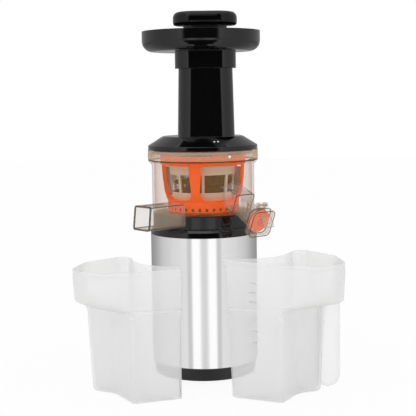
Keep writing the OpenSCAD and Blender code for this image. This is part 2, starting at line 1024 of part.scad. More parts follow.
module output_seal() {
    color("#1c1c1c")
        tube(seal_r, drive_r + run_gap, deck_z - seal_h, deck_z);
}

// Switch and gland

module switch_bezel() {
    color("#1a1a1a")
    difference() {
        union() {
            translate([-switch_w / 2, shell_r - switch_depth, switch_z - switch_h / 2])
                cube([switch_w, switch_depth, switch_h]);
            difference() {
                translate([0, shell_r, switch_z])
                    cube([switch_w + 2 * switch_lip, 2 * switch_proud,
                        switch_h + 2 * switch_lip], center = true);
                post(shell_r, 0, shell_top);
            }
            translate([0, shell_r, switch_z])
                cube([switch_w, 2 * switch_proud, switch_h], center = true);
        }
        translate([0, shell_r, switch_z])
            cube([rocker_w, 2 * rocker_r, rocker_h + 2 * part_gap + rocker_room], center = true);
        translate([0, shell_r - rocker_r / 2, switch_z])
            rotate([0, 90, 0])
                cylinder(r = rocker_pin_r + run_gap, h = switch_w - 2 * switch_side, center = true);
    }
}

module rocker() {
    color("#0e0e0e")
    translate([0, shell_r - rocker_r / 2, switch_z])
        rotate([0, 90, 0]) {
            intersection() {
                difference() {
                    cylinder(r = rocker_r, h = rocker_w - 2 * part_gap, center = true);
                    translate([0, rocker_dish_shares[0] * rocker_r, 0])
                        cylinder(r = rocker_dish_shares[1] * rocker_r, h = rocker_w,
                            center = true);
                }
                translate([0, rocker_r / 2, 0])
                    cube([rocker_h - rocker_room, 2 * rocker_r - rocker_cut, rocker_w], center = true);
            }
            cylinder(r = rocker_pin_r, h = switch_w - 2 * switch_side - 2 * part_gap,
                center = true);
        }
}

module cord_gland() {
    color("#1a1a1a")
    translate([0, shell_r, gland_z])
        rotate([-90, 0, 0])
            difference() {
                union() {
                    translate([0, 0, -gland_in])
                        cylinder(r = gland_r, h = gland_in + gland_joint);
                    cylinder(r1 = gland_head_r, r2 = gland_r, h = gland_head_h);
                    translate([0, 0, -gland_in])
                        cylinder(r = gland_head_r, h = gland_nut_h);
                }
                cylinder(r = gland_bore, h = 4 * gland_in, center = true);
            }
}

// Frames of the spouts: local X runs outwards, local Y to the right of it

module turned(turn) {
    rotate([0, 0, turn - 90])
        children();
}

module juice_frame() {
    turned(juice_turn)
        translate([juice_start, juice_side, juice_z])
            rotate([0, juice_slope, 0])
                children();
}

module pulp_duct(w, h, corner, from, to) {
    turned(pulp_turn)
        translate([from, pulp_side, pulp_top_z - pulp_h / 2])
            rotate([90, 0, 90])
                linear_extrude(to - from)
                    plate(w, h, corner);
}

module pulp_spout() {
    difference() {
        pulp_duct(pulp_w, pulp_h, spout_corner, bowl_r / 2, pulp_reach + 2 * pulp_lean);
        turned(pulp_turn)
            translate([pulp_reach, pulp_side, pulp_top_z])
                rotate([0, atan(pulp_lean / -pulp_h), 0])
                    translate([0, -pulp_w, -2 * pulp_h])
                        cube([pulp_w, 2 * pulp_w, 3 * pulp_h]);
    }
}

module juice_block(w, h, corner, from) {
    juice_frame()
        translate([from, 0, block_lift])
            rotate([90, 0, 90])
                linear_extrude(-from)
                    plate(w, h, corner);
}

module along(r1, r2, from, to) {
    translate([from, 0, 0])
        rotate([0, 90, 0])
            cylinder(r1 = r1, r2 = r2, h = to - from);
}

module across(r, w) {
    rotate([90, 0, 0])
        cylinder(r = r, h = w, center = true);
}

module at_hinge() {
    translate([juice_len + hinge_ear_r / 3, 0, hinge_lift])
        children();
}

module juice_spout() {
    juice_frame() {
        along(juice_root_r, juice_mouth_r, -over, juice_len);
        along(flange_r, flange_r, juice_len - flange_t, juice_len);
        for (side = [-1, 1])
            translate([0, side * (ear_gap + ear_t) / 2, 0])
                difference() {
                    union() {
                        at_hinge()
                            across(hinge_ear_r, ear_t);
                        translate([juice_len - flange_t, -ear_t / 2, flange_r - ear_sunk])
                            cube([flange_t, ear_t, hinge_lift - flange_r + ear_sunk]);
                    }
                    at_hinge()
                        across(hinge_r, 2 * ear_t);
                }
    }
}

// Bowl

// Room inside both spouts, outside the wall of the bowl and above its floor
module spout_room() {
    difference() {
        union() {
            pulp_duct(pulp_w - 2 * spout_wall, pulp_h - 2 * spout_wall,
                spout_corner - spout_wall / 2, bowl_r - 4 * bowl_wall, 2 * pulp_reach);
            juice_block(block_w - 2 * spout_wall, block_h - 2 * spout_wall,
                spout_corner - spout_wall / 2, -block_room_in);
        }
        post(bowl_r + spout_wall, shell_top, bowl_floor);
        juice_frame()
            translate([-spout_wall, -block_w, -block_h])
                cube([block_w, 2 * block_w, 2 * block_h]);
    }
    juice_frame()
        along(juice_bore, juice_bore, -block_h / 2, 2 * juice_len);
}

module bowl() {
    color("#d9c9b6", 0.55)
    difference() {
        rotate_extrude()
            polygon([[0, floor_z], [bowl_r - bowl_foot_round, floor_z],
                [bowl_r, floor_z + bowl_foot_round], [bowl_r, neck_z],
                [rim_r, neck_z + neck_h], [rim_r, rim_z], [0, rim_z]]);
        bowl_cavity();
        spout_room();
        turned(dot_turn)
            translate([rim_r - dot_t, 0, dot_z])
                rotate([0, 90, 0])
                    cylinder(r = dot_r, h = 2 * over);
    }
}

module pulp_chute() {
    color("#d9c9b6", 0.55)
    difference() {
        pulp_spout();
        post(bowl_r + chute_gap, shell_top, neck_z);
        spout_room();
    }
}

module juice_chute() {
    color("#d9c9b6", 0.55)
    difference() {
        union() {
            juice_block(block_w, block_h, spout_corner, -block_in);
            juice_spout();
        }
        post(bowl_r + chute_gap, shell_top, neck_z);
        spout_room();
    }
}

module bowl_cavity() {
    difference() {
        rotate_extrude()
            polygon([[0, bowl_floor], [bowl_inner_r - floor_round, bowl_floor],
                [bowl_inner_r - floor_round_mid, bowl_floor + floor_round_mid],
                [bowl_inner_r, bowl_floor + floor_round],
                [bowl_inner_r, seal_z], [bowl_inner_r + seal_w, seal_z],
                [rim_r - rim_wall, seal_z + seal_shelf], [rim_r - rim_wall, rim_z + over],
                [0, rim_z + over]]);
        post(tower_r, floor_z, tower_top);
        around(pillar_turns, idler_ring)
            post(pillar_r, floor_z, strainer_z);
        around([idler_turn], idler_ring)
            post(idler_pad_r, floor_z, gear_z - part_gap);
        intersection() {
            tube(rim_r, hook_r, hook_z, hook_z + hook_h);
            for (i = [0 : lug_count - 1])
                rotate([0, 0, hook_start + 360 * i / lug_count])
                    sector(rim_r, hook_turn, hook_z - over, hook_h + 2 * over);
        }
    }
    post(tower_bore, floor_z - over, tower_top + over);
    around([idler_turn], idler_ring)
        post(pin_r, bowl_floor - floor_t / 3, gear_z);
}

module sector(r, turn, low, h) {
    translate([0, 0, low])
        rotate_extrude(angle = turn)
            square([r, h]);
}

module shaft_seal() {
    color("#e9e4dc")
    difference() {
        union() {
            tube(tower_bore, drive_r + run_gap, tower_top - shaft_seal_h, tower_top);
            tube(tower_r - shaft_seal_lip, drive_r + run_gap, tower_top,
                tower_top + shaft_seal_lip);
        }
        post(drive_r + run_gap, 0, tower_top + over);
    }
}

module rim_seal() {
    color("#26282a")
    translate([bowl_inner_r, 0, seal_z])
        rotate_extrude()
            polygon([[seal_in, 0], [seal_w - seal_taper, 0], [seal_w + seal_lip, seal_lip_h],
                [seal_w, seal_top_h], [seal_in, seal_top_h]]);
}

module idler_pin() {
    color("#c4c7ca")
    around([idler_turn], idler_ring)
        post(pin_r, bowl_floor - floor_t / 3, strainer_z);
}

module alignment_dot() {
    color("white")
    turned(dot_turn)
        translate([rim_r - dot_t, 0, dot_z])
            rotate([0, 90, 0])
                cylinder(r = dot_r, h = dot_t);
}

// Strainer

function strainer_r(z) =
    let (share = (z - strainer_z) / strainer_h)
    strainer_foot_r + (strainer_top_r - strainer_foot_r) * lookup(share,
        [for (i = [0 : 3]) [flare_shares[i], flare_r_shares[i]]]);
strainer_steps = [for (share = flare_shares) strainer_z + share * strainer_h];

module strainer_frame() {
    inside = [for (i = [3 : -1 : 0])
        let (z = max(strainer_steps[i], strainer_z + plate_h))
        [strainer_r(z) - strainer_wall, z]];
    color("#cbbfa9")
    difference() {
        rotate_extrude()
            polygon(concat(
                [[auger_skirt_r + skirt_gap, strainer_z]],
                [for (z = strainer_steps) [strainer_r(z), z]],
                [[strainer_top_r + strainer_lip, strainer_top_z],
                    [strainer_top_r + strainer_lip, strainer_top_z + strainer_lip],
                    [strainer_top_r - strainer_wall, strainer_top_z + strainer_lip]],
                inside,
                [[auger_skirt_r + skirt_gap, strainer_z + plate_h]]));
        for (i = [0 : strainer_ribs - 1])
            rotate([0, 0, 360 * i / strainer_ribs + rib_turn / 2])
                sector(2 * strainer_top_r, 360 / strainer_ribs - rib_turn,
                    window_low, window_high - window_low);
        turned(pulp_turn)
            translate([pulp_hole_r, -pulp_hole.y / 2, strainer_z - over])
                cube([pulp_hole.x, pulp_hole.y, plate_h + 2 * over]);
    }
}

module strainer_mesh() {
    low = window_low - mesh_hem;
    high = window_high + mesh_hem;
    color("#5f5c50")
    rotate_extrude()
        polygon([[strainer_r(low) - strainer_wall - mesh_t, low],
            [strainer_r(low) - strainer_wall, low],
            [strainer_r(strainer_steps[1]) - strainer_wall, strainer_steps[1]],
            [strainer_r(high) - strainer_wall, high],
            [strainer_r(high) - strainer_wall - mesh_t, high],
            [strainer_r(strainer_steps[1]) - strainer_wall - mesh_t, strainer_steps[1]]]);
}

// Auger

module auger() {
    color("#23262a")
    difference() {
        union() {
            rotate_extrude()
                polygon(concat(
                    [[0, auger_z]],
                    [for (i = [0 : 3]) [core_r[i], auger_z + core_h[i]]],
                    [[core_r[4], auger_top_z - core_tip_h], [core_r[5], auger_top_z]],
                    [[0, auger_top_z]]));
            post(auger_pin_r, auger_top_z - over, auger_pin_top);
            flight(0, 600, auger_z + flight_low, auger_top_z - flight_end);
            flight(180, 330, auger_z + flight_low, auger_z + flight2_h);
        }
        translate([0, 0, auger_z - over])
            cylinder(d = (hex_w + hex_play) / cos(30), h = drive_top_z - auger_z + 2 * over,
                $fn = 6);
    }
}

// Helical flight whose edge follows the inside of the strainer
module flight(start, sweep, low, high) {
    steps = floor(sweep / 12);
    loft([for (i = [0 : steps])
        let (share = i / steps, a = start + sweep * share, z = low + (high - low) * share,
            taper = min(1, (1 - share) * 5), reach = min(z + flight_sunk, strainer_top_z),
            lowest = max(z - flight_tilt, strainer_z + plate_h),
            edge = min(strainer_r(reach), strainer_r(lowest))
                - strainer_wall - mesh_t - flight_gap,
            t = flight_t + flight_tip_t * taper, root = polar(flight_root_r, a),
            tip = polar(flight_start_r + (edge - flight_start_r) * taper, a))
        [[root.x, root.y, z], [root.x, root.y, z + t + flight_sunk],
            [tip.x, tip.y, z + t], [tip.x, tip.y, z + flight_tilt]]]);
}

module auger_gear() {
    color("#e4dfd2")
    difference() {
        union() {
            gear(sun_teeth, bowl_module, gear_z, gear_h, idler_turn);
            post(auger_skirt_r, gear_z, auger_z);
        }
        post(tower_r + sun_play, gear_z - over, auger_z + over);
    }
}

module idler_gear() {
    color("#e4dfd2")
    around([idler_turn], idler_ring)
        difference() {
            gear(idler_teeth, bowl_module, gear_z, gear_h, 180 + 180 / idler_teeth);
            post(pin_r + run_gap, gear_z - over, gear_z + gear_h + over);
        }
}

// Brush

module brush_frame() {
    color("#ff5a10")
    difference() {
        rotate_extrude()
            polygon([[brush_ring_r - brush_wall, brush_z], [brush_ring_r, brush_z],
                [brush_ring_r, brush_ring_top], [brush_low_r, brush_low_z],
                [brush_high_r, brush_high_z],
                [brush_high_r + brush_flare, brush_top_z - brush_top_h],
                [brush_top_r, brush_top_z - brush_top_h + brush_lip],
                [brush_top_r, brush_top_z],
                [brush_top_r - brush_wall, brush_top_z],
                [brush_top_r - brush_wall, brush_top_z - brush_top_h],
                [brush_high_r - brush_wall, brush_high_z],
                [brush_low_r - brush_wall, brush_low_z],
                [brush_ring_r - brush_wall, brush_ring_top],
                [ring_teeth * bowl_module / 2 - ring_lip, brush_ring_top],
                [ring_teeth * bowl_module / 2 - ring_lip, gear_z - part_gap],
                [brush_ring_r - brush_wall, gear_z - part_gap]]);
        translate([0, 0, brush_z])
            rotate([0, 0, idler_turn + 180 / ring_teeth])
                linear_extrude(brush_ring_top - brush_z + over)
                    polygon(gear_points(ring_teeth, bowl_module, -gear_play, root, crown));
        for (a = brush_posts)
            turned(a + 45)
                brush_window();
        for (i = [0 : notch_count - 1])
            rotate([0, 0, 360 * (i + 0.5) / notch_count])
                translate([brush_ring_r - 2 * brush_wall, -notch_w / 2, notch_low])
                    cube([3 * brush_wall, notch_w, notch_high - notch_low]);
    }
}

// Opening between two posts, with large rounds at its foot
module brush_window() {
    half = brush_high_r * sin(45 - asin(post_w / 2 / brush_high_r));
    low = brush_ring_top + window_foot;
    high = brush_top_z - brush_top_h;
    translate([brush_ring_r / 2, 0, 0])
        rotate([90, 0, 90])
            linear_extrude(brush_top_r)
                union() {
                    translate([0, high - window_head])
                        plate(2 * half, 2 * window_head, window_corner);
                    translate([0, (low + high) / 2])
                        plate(2 * half, high - low, brush_fillet);
                    translate([-half, (low + high) / 2])
                        square([2 * half, (high - low) / 2 - window_head]);
                }
}

module wiper_blades() {
    color("#5b5f63")
    for (a = brush_posts)
        turned(a - blade_turn / 2)
            rotate_extrude(angle = blade_turn)
                polygon(concat(
                    [for (z = [blade_low, brush_low_z, brush_high_z, blade_high])
                        [strainer_r(z) + part_gap, z]],
                    [[brush_high_r + blade_lean - brush_wall, blade_high],
                        [brush_high_r - brush_wall, brush_high_z],
                        [brush_low_r - brush_wall, brush_low_z],
                        [brush_low_r - brush_wall - blade_foot, blade_low]]));
}

// Lid

module tube_loft(extra, low, high) {
    taper = tube_taper / (tube_top_z - lid_top_z);
    translate([tube_x, tube_y, 0])
        loft([for (z = [low, high])
            let (less = taper * (z - lid_top_z) - 2 * extra)
            box_ring(tube_w - less, tube_d - less, tube_corner + extra, z)]);
}

module lid() {
    color("#0d0d0d")
    difference() {
        union() {
            rotate_extrude()
                polygon([[skirt_r, skirt_z], [skirt_r, lid_z], [lid_r, lid_z],
                    [lid_r, lid_z + lid_edge_h],
                    [lid_r - lid_edge_in, lid_z + lid_edge_h + lid_edge_rise],
                    [lid_top_r, lid_top_z], [0, lid_top_z], [0, lid_top_z - lid_wall],
                    [lid_top_r - lid_edge_in, lid_top_z - lid_wall],
                    [skirt_r - lid_wall, lid_z + lid_wall], [skirt_r - lid_wall, skirt_z]]);
            intersection() {
                tube(lug_r, skirt_r - lid_wall, skirt_z, skirt_z + lug_h);
                for (i = [0 : lug_count - 1])
                    rotate([0, 0, hook_start + (hook_turn - lug_turn) / 2
                        + 360 * i / lug_count])
                        sector(rim_r, lug_turn, skirt_z - over, lug_h + 2 * over);
            }
            tube_loft(0, lid_top_z - lid_wall, tube_top_z);
            post(boss_top_r, auger_top_z + bush_low, lid_top_z);
        }
        difference() {
            tube_loft(-tube_wall, lid_top_z - 2 * lid_wall, tube_top_z + over);
            post(boss_top_r, 0, lid_top_z);
        }
        post(bush_r, 0, auger_pin_top + pin_room);
    }
}

module lid_seal() {
    color("#9aa0a2")
        tube(skirt_r + lid_seal_t, skirt_r, lid_z - lid_seal_low, lid_z - lid_seal_high);
}

module auger_bush() {
    color("#d8d2c4")
        tube(bush_r, auger_pin_r + run_gap, auger_top_z + bush_low,
            auger_pin_top + pin_room);
}

module lock_dots() {
    color("white")
    for (turn = mark_turns)
        turned(turn)
            translate([(lid_top_r + lid_r - lid_edge_in) / 2, 0,
                (lid_top_z + lid_z + lid_edge_h + lid_edge_rise) / 2])
                rotate([0, lid_slope, 0])
                    cylinder(r = lock_dot_r, h = part_gap);
}

// Hopper

module feed_tray() {
    color("#151515")
    difference() {
        union() {
            translate([tray_x, tray_y, 0])
                rotate_extrude()
                    polygon(concat([[0, tray_foot_z]],
                        arc([tray_r - tray_curve, tray_foot_z + tray_curve], tray_curve, -90, 0),
                        [[tray_r, tray_rim_z], [tray_r - tray_wall, tray_rim_z]],
                        arc([tray_r - tray_curve, tray_foot_z + tray_curve],
                            tray_curve - tray_wall, 0, -90),
                        [[0, tray_floor]]));
            translate([tube_x, tube_y, collar_foot_z])
                linear_extrude(tray_foot_z - collar_foot_z + over)
                    plate(collar_w, collar_d, collar_corner);
        }
        translate([tube_x, tube_y, collar_foot_z - over])
            linear_extrude(tray_foot_z - collar_foot_z + over)
                plate(tube_w - tube_taper * collar_share + 2 * part_gap + collar_play,
                    tube_d - tube_taper * collar_share + 2 * part_gap + collar_play,
                    tube_corner);
        translate([tube_x, tube_y, collar_foot_z])
            linear_extrude(tray_rim_z)
                plate(tube_w - tube_taper - 2 * tube_wall, tube_d - tube_taper - 2 * tube_wall,
                    tube_corner - tube_wall);
    }
}

module pusher_stem() {
    color("#1d1d1d")
    translate([tube_x, tube_y, 0])
        difference() {
            union() {
                translate([0, 0, shoulder_z - pusher_len])
                    linear_extrude(cap_foot_z - shoulder_z + pusher_len)
                        plate(stem_w, stem_d, stem_corner);
                translate([0, 0, shoulder_z])
                    linear_extrude(shoulder_h)
                        plate(shoulder_w, shoulder_d, shoulder_corner);
            }
            translate([0, 0, shoulder_z - pusher_len + stem_floor])
                linear_extrude(cap_foot_z)
                    plate(stem_w - 2 * wall, stem_d - 2 * wall, stem_corner - wall);
        }
}

module pusher_cap() {
    rise = pusher_top_z - cap_foot_z;
    heights = concat([0, cap_foot_round], rise * cap_rise_shares);
    color("#080808")
    translate([tube_x, tube_y, 0])
        loft([for (i = [0 : len(heights) - 1])
            box_ring(cap_w - cap_insets[i], cap_d - cap_insets[i],
                cap_corner - cap_insets[i] / 2, cap_foot_z + heights[i])]);
}

// Juice cap

module cap_cover() {
    face = juice_len + cover_depth;
    color("#dcc7a8", 0.6)
    juice_frame()
        difference() {
            union() {
                translate([juice_len + cover_start, 0, (cover_rise - cover_drop) / 2])
                    rotate([90, 0, 90])
                        linear_extrude(cover_depth - cover_start)
                            plate(cover_w, cover_rise + cover_drop, cover_corner);
                at_hinge()
                    across(hinge_ear_r, ear_gap - 2 * part_gap);
                translate([juice_len + cover_start, -ear_gap / 2 + part_gap,
                    cover_rise - over])
                    cube([cover_wall, ear_gap - 2 * part_gap, hinge_lift - cover_rise + over]);
                translate([face - cover_wall, 0, cover_rise - tab_t])
                    rotate([0, tab_slope, 0])
                        translate([0, -tab_w / 2, -cover_wall])
                            cube([tab_len, tab_w, tab_t]);
            }
            difference() {
                translate([juice_len, 0, (cover_rise - cover_drop) / 2])
                    rotate([90, 0, 90])
                        linear_extrude(cover_depth - cover_wall)
                            plate(cover_w - 2 * cover_wall,
                                cover_rise + cover_drop - 2 * cover_wall, cover_inner_corner);
                along(cover_stub_r, cover_stub_r, face - cover_wall - plug_back, face);
            }
            at_hinge()
                across(hinge_r, cover_w);
            along(flange_r + part_gap, flange_r + part_gap, 0, juice_len + part_gap);
        }
}

module cap_plug() {
    seat = juice_len + part_gap;
    groove = seat + plug_face_t;
    color("#ff6a2a")
    juice_frame() {
        along(plug_neck_r, plug_neck_r, juice_len - plug_neck_h, seat);
        along(plug_r, plug_r, seat, groove);
        along(plug_r - gasket_sunk, plug_r - gasket_sunk, groove, groove + gasket_t);
        along(plug_r, plug_r - plug_draft, groove + gasket_t,
            juice_len + cover_depth - cover_wall - plug_back);
    }
}

module cap_gasket() {
    groove = juice_len + part_gap + plug_face_t;
    color("#101214")
    juice_frame()
        difference() {
            along(plug_r + gasket_proud, plug_r + gasket_proud, groove, groove + gasket_t);
            along(plug_r - gasket_sunk, plug_r - gasket_sunk, groove - over,
                groove + gasket_t + over);
        }
}

module cap_hinge_pin() {
    color("#cfae84")
    juice_frame()
        at_hinge()
            across(hinge_r, ear_gap + 2 * ear_t);
}

// Jugs

// Outline of the wall that nests round the base, from the back lobe to the pour tip
function nest_wall(grow, back_turn) =
    [for (p = arc([0, 0], nest_r - grow, -nest_turn, back_turn)) [p.x, -p.y]];

// Outlines of the upper and the lower body; both share the face between front and tip
function jug_upper(grow, reach, front, tip) =
    let (slope = (tip.y - front.y) / (tip.x - front.x))
    concat(nest_wall(grow, nest_turn), rounded_open([[lobe.x - grow, -lobe.y, 0],
        [lobe.x - lobe_lead - grow, jug_side - grow, jug_corners[0]],
        [jug_shoulder.x, jug_shoulder.y - grow, jug_corners[1]],
        [reach + grow, jug_far_y - grow, jug_corners[2]],
        [reach + grow, front.y + grow + slope * (reach - front.x), jug_corners[3]],
        [tip.x - grow, tip.y + grow, jug_corners[4]], [lobe.x - grow, lobe.y, 0]]));

// heel is the corner of the lower body away from the pour tip
function jug_lower(grow, heel, front, tip) = concat(nest_wall(grow, heel_turn),
    rounded_open([[heel_back - grow, 0, 0],
        [heel_back - grow, heel.y - heel_drop - grow, heel_corners[0]],
        [heel.x + grow, heel.y - grow, heel_corners[1]],
        [heel.x - jug_waist + grow, heel.y / 3, heel_corners[2]],
        [front.x + grow, front.y + grow, heel_corners[3]],
        [tip.x - grow, tip.y + grow, heel_corners[4]], [lobe.x - grow, lobe.y, 0]]));

function rounded_open(corners) =
    [for (i = [1 : len(corners) - 2])
        let (a = corners[i - 1], b = corners[i], c = corners[i + 1])
        each fillet([a.x, a.y], [b.x, b.y], [c.x, c.y], b.z, 5)];

// Ring at height z whose far side rises by rise and whose pour tip rises by lip
function jug_ring(points, z, rise = 0, lip = 0) =
    [for (p = points)
        [p.x, p.y, z + rise * min(1, max(0, (p.x - p.y / 2 - jug_near) / jug_slope_run))
            + lip * pow(max(0, 1 - norm(p - pour_centre) / pour_reach), 2)]];

module jug(h, reach, heel, front, tip, lip, flare) {
    low = -jug_draft;
    high = -jug_bead;
    ledge = high - jug_bead;
    pour = tip + flare * [-1, 1];
    loft([jug_ring(jug_lower(low - jug_foot / 2, heel, front, tip), 0),
        jug_ring(jug_lower(low, heel, front, tip), jug_foot),
        jug_ring(jug_lower(ledge, heel, front, tip), jug_step_z - ledge_low),
        jug_ring(jug_lower(high, heel, front, tip), jug_step_z - ledge_high),
        jug_ring(jug_lower(high, heel, front, tip), jug_step_z - step_low, jug_rise),
        jug_ring(jug_upper(high, reach - far_draft, front, tip), jug_step_z, jug_rise),
        jug_ring(jug_upper(0, reach, front, tip), h - lip_drop),
        jug_ring(jug_upper(0, reach, front, pour), h, 0, lip),
        jug_ring(jug_upper(-jug_wall, reach, front, pour), h, 0, lip),
        jug_ring(jug_upper(-jug_wall, reach, front, tip), h - lip_drop),
        jug_ring(jug_upper(high - jug_wall, reach - far_draft, front, tip),
            jug_step_z + jug_wall, jug_rise),
        jug_ring(jug_lower(high - jug_wall, heel, front, tip),
            jug_step_z - step_low + jug_wall, jug_rise),
        jug_ring(jug_lower(ledge - jug_wall, heel, front, tip), jug_step_z - ledge_low),
        jug_ring(jug_lower(low - jug_wall, heel, front, tip), jug_floor)]);
}

module pulp_jug() {
    color("#ececec", 0.7)
    turned(pulp_turn)
        translate([pulp_pull, pulp_shift, 0])
            jug(pulp_jug_h, pulp_jug_reach, pulp_heel, pulp_front, pulp_tip, 0, 0);
}

module juice_jug() {
    color("#ececec", 0.7)
    turned(juice_turn)
        translate([juice_pull, juice_shift, 0])
            mirror([0, 1, 0]) {
                jug(juice_jug_h, juice_jug_reach, juice_heel, juice_front, juice_tip,
                    juice_lip_rise, juice_lip_flare);
                translate([juice_heel.x - grip_sunk, grip_y, (grip_low + grip_top) / 2])
                    rotate([90, 0, 90])
                        linear_extrude(grip_t)
                            plate(grip_w, grip_top - grip_low, grip_corner);
            }
}

base_ring();
bottom_cover();
rubber_feet();
cover_screws();
tie_bolts();
steel_shell();
base_top();
motor_stator();
stator_windings();
lower_bracket();
upper_bracket();
lower_bearing();
upper_bearing();
run_capacitor();
capacitor_clip();
terminal_block();
gearbox_plate();
gearbox_cover();
gearbox_screws();
layshaft_pin();
output_bearing();
output_seal();
switch_bezel();
cord_gland();
rotor_core();
motor_shaft();
cooling_fan();
layshaft_gear();
output_gear();
drive_shaft();
bowl();
pulp_chute();
juice_chute();
shaft_seal();
rim_seal();
idler_pin();
strainer_frame();
strainer_mesh();
alignment_dot();
idler_gear();
auger();
auger_gear();
brush_frame();
wiper_blades();
lid();
lid_seal();
auger_bush();
lock_dots();
feed_tray();
pusher_cap();
pusher_stem();
cap_cover();
cap_plug();
cap_gasket();
cap_hinge_pin();
rocker();
juice_jug();
pulp_jug();
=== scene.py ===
"""Looks of the upright slow juicer with its two jugs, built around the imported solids."""

import math

import bmesh
import bpy
from mathutils import Matrix, Vector


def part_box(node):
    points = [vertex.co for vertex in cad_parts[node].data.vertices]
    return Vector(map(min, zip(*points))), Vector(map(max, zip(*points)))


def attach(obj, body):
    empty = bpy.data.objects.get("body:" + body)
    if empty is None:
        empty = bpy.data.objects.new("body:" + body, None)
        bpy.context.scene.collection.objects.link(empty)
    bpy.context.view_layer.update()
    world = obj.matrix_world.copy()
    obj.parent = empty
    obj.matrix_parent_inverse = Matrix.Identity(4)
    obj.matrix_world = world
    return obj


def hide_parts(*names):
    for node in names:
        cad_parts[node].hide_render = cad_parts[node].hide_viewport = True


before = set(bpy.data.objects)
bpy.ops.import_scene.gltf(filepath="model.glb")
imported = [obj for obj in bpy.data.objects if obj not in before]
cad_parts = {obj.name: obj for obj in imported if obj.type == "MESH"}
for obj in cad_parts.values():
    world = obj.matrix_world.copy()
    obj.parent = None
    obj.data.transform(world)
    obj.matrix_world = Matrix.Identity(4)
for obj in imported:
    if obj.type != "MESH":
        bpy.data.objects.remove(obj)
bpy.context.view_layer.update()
scene = bpy.context.scene
scene.view_settings.view_transform = "Standard"

MM = 0.001
TAU = 2 * math.pi

# Meshes: angle of a sharp edge, merging distance in metres, start and steps of rounds
SHARP_EDGE = math.radians(38)
MERGE_GAP = 0.00001
CIRCLE_START = -135
ROUND_STEPS = 96
SMALL_STEPS = 48
CORNER_STEPS = 10
SOFT_STEPS = 14

# Camera, in millimetres and degrees, with its clipping in metres
CAMERA_PLACE = (5.26, -1200, 327.5)
CAMERA_PITCH = 6.367
CAMERA_ROLL = 0.733
FOCAL_PIXELS = 1022.4
PHOTO_PIXELS = 416
SENSOR_WIDTH = 36
CLIP_START = 0.05
CLIP_END = 20

# From here all sizes of the product are in millimetres and all turns in degrees

# Turn of each spout and its jug round the drive axis
PULP_TURN = -48
JUICE_TURN = 38

# Jugs, in the frame of a jug that is nested round the base
PULP_JUG_PLACE = (44.5, 25.6)
JUICE_JUG_PLACE = (54.6, 0)
NEST_R = 66
NEST_TURN = 40
NEST_STEPS = 24
HEEL_TURN = 32
HEEL_BACK = 57
HEEL_DROP = 2
HEEL_CORNERS = (4, 7, 30, 5, 3)
LOBE = (49, 46)
LOBE_LEAD = 3
JUG_SIDE = -62
JUG_SHOULDER = (104, -60)
JUG_FAR_Y = -30
JUG_CORNERS = (8, 34, 30, 34, 3)
JUG_WALL = 1.8
JUG_FLOOR = 2.2
JUG_STEP = 100
JUG_RISE = 9
JUG_NEAR = 90
JUG_RUN = 60
JUG_DRAFT = 4.5
JUG_BEAD = 0.8
JUG_WAIST = 11
LIP_DROP = 9
LIP_REACH = 60
LIP_CENTRE = (52, 58)
OVERHANG_DRAFT = 1
STEP_LOW = 2
LEDGE_LOW = 8
FLOOR_ROUND = 3
FLOOR_ROUND_IN = 2.4
PULP_JUG = {"height": 143, "reach": 145, "heel": (114, -54), "front": (113, 34),
            "tip": (57, 53), "lip": 0, "flare": 0}
JUICE_JUG = {"height": 149.5, "reach": 153, "heel": (110, -47), "front": (116, 30),
             "tip": (54, 56), "lip": 1.5, "flare": 4}

# Rings of a jug: how far the outline is drawn in, and the height
FOOT_RINGS = ((3.4, 0), (1.9, 0.25), (0.8, 1), (0.2, 2.1), (0, 3.4))

# How far the outline stands out past the bead, height above the step, follows the slope
BEAD_RINGS = ((-JUG_BEAD, -8.2, 0), (0, -7.2, 0), (0, -3, 1), (0.3, -2.2, 1))
OVERHANG_RINGS = ((-1.2, -0.9, 1), (-0.4, -0.2, 1), (0, 1, 1))

# How far the outline stands out, share of the flare, drop below the top
RIM_RINGS = ((-0.5, 0.6, 2.8), (-0.1, 0.8, 1.9), (0, 1, 1), (-0.3, 1, 0.2), (-0.9, 1, 0),
             (-1.6, 1, 0.4), (-2, 0.8, 2))

# Grip of the juice jug and its soft edge as (inset, height)
GRIP_W = 27.5
GRIP_T = 6
GRIP_LOW = 7
GRIP_TOP = 105
GRIP_CORNER = 11
GRIP_Y = -44.75
GRIP_SUNK = 3.2
GRIP_EDGE = ((0.9, 0), (0.25, 0.3), (0, 1))

# Measuring ticks of the juice jug
TICK_HEIGHTS = (64, 76, 88, 108, 118, 128)
TICK_AT = 84
TICK_FACE_Y = 20
TICK_LENGTHS = (6, 9)
TICK_DEPTH = 0.9
TICK_H = 0.7
TICK_DRAFT = 2.2

# Lid and feed tube
TUBE_PLACE = (4.4, -22)
TUBE_SIZE = (65.2, 46)
TUBE_TAPER = 4.4
TUBE_CORNER = 20
TUBE_WALL = 3.2
TUBE_TOP = 375.7
LID_TOP = 279
LID_TOP_R = 47
LID_R = 64
LID_EDGE = 263.7
LID_EDGE_H = 4.6
LID_WALL = 2.5
CREST_IN = 1
SKIRT_R = 57
SKIRT_Z = 258.9
BUSH_R = 6.2
BOSS_R = 9.5
BOSS_LOW = 264
BOSS_ROOF = 272
BOSS_SUNK = 0.2
BOSS_STEPS = 32
LUG_COUNT = 3
LUG_R = 61
LUG_H = 2.2
LUG_SUNK = 1
LUG_TURN = 14
LUG_START = 61
LUG_STEPS = 8
MARK_R = 55
MARK_OUT = 0.6
MARK_IN = 0.1
MARK_T = 0.25
MARK_TURN = 12
MARK_START = -97
MARK_STEPS = 10

# Rounds of the lid as (inset from the radius, height above the level)
EDGE_FOOT = ((0.4, 0), (0, 0.4))
EDGE_HEAD = ((0, -0.5), (0.3, 0.2), (1, 0.6))
CREST = ((-2, -1.3), (0, -0.4), (0.6, -0.1))

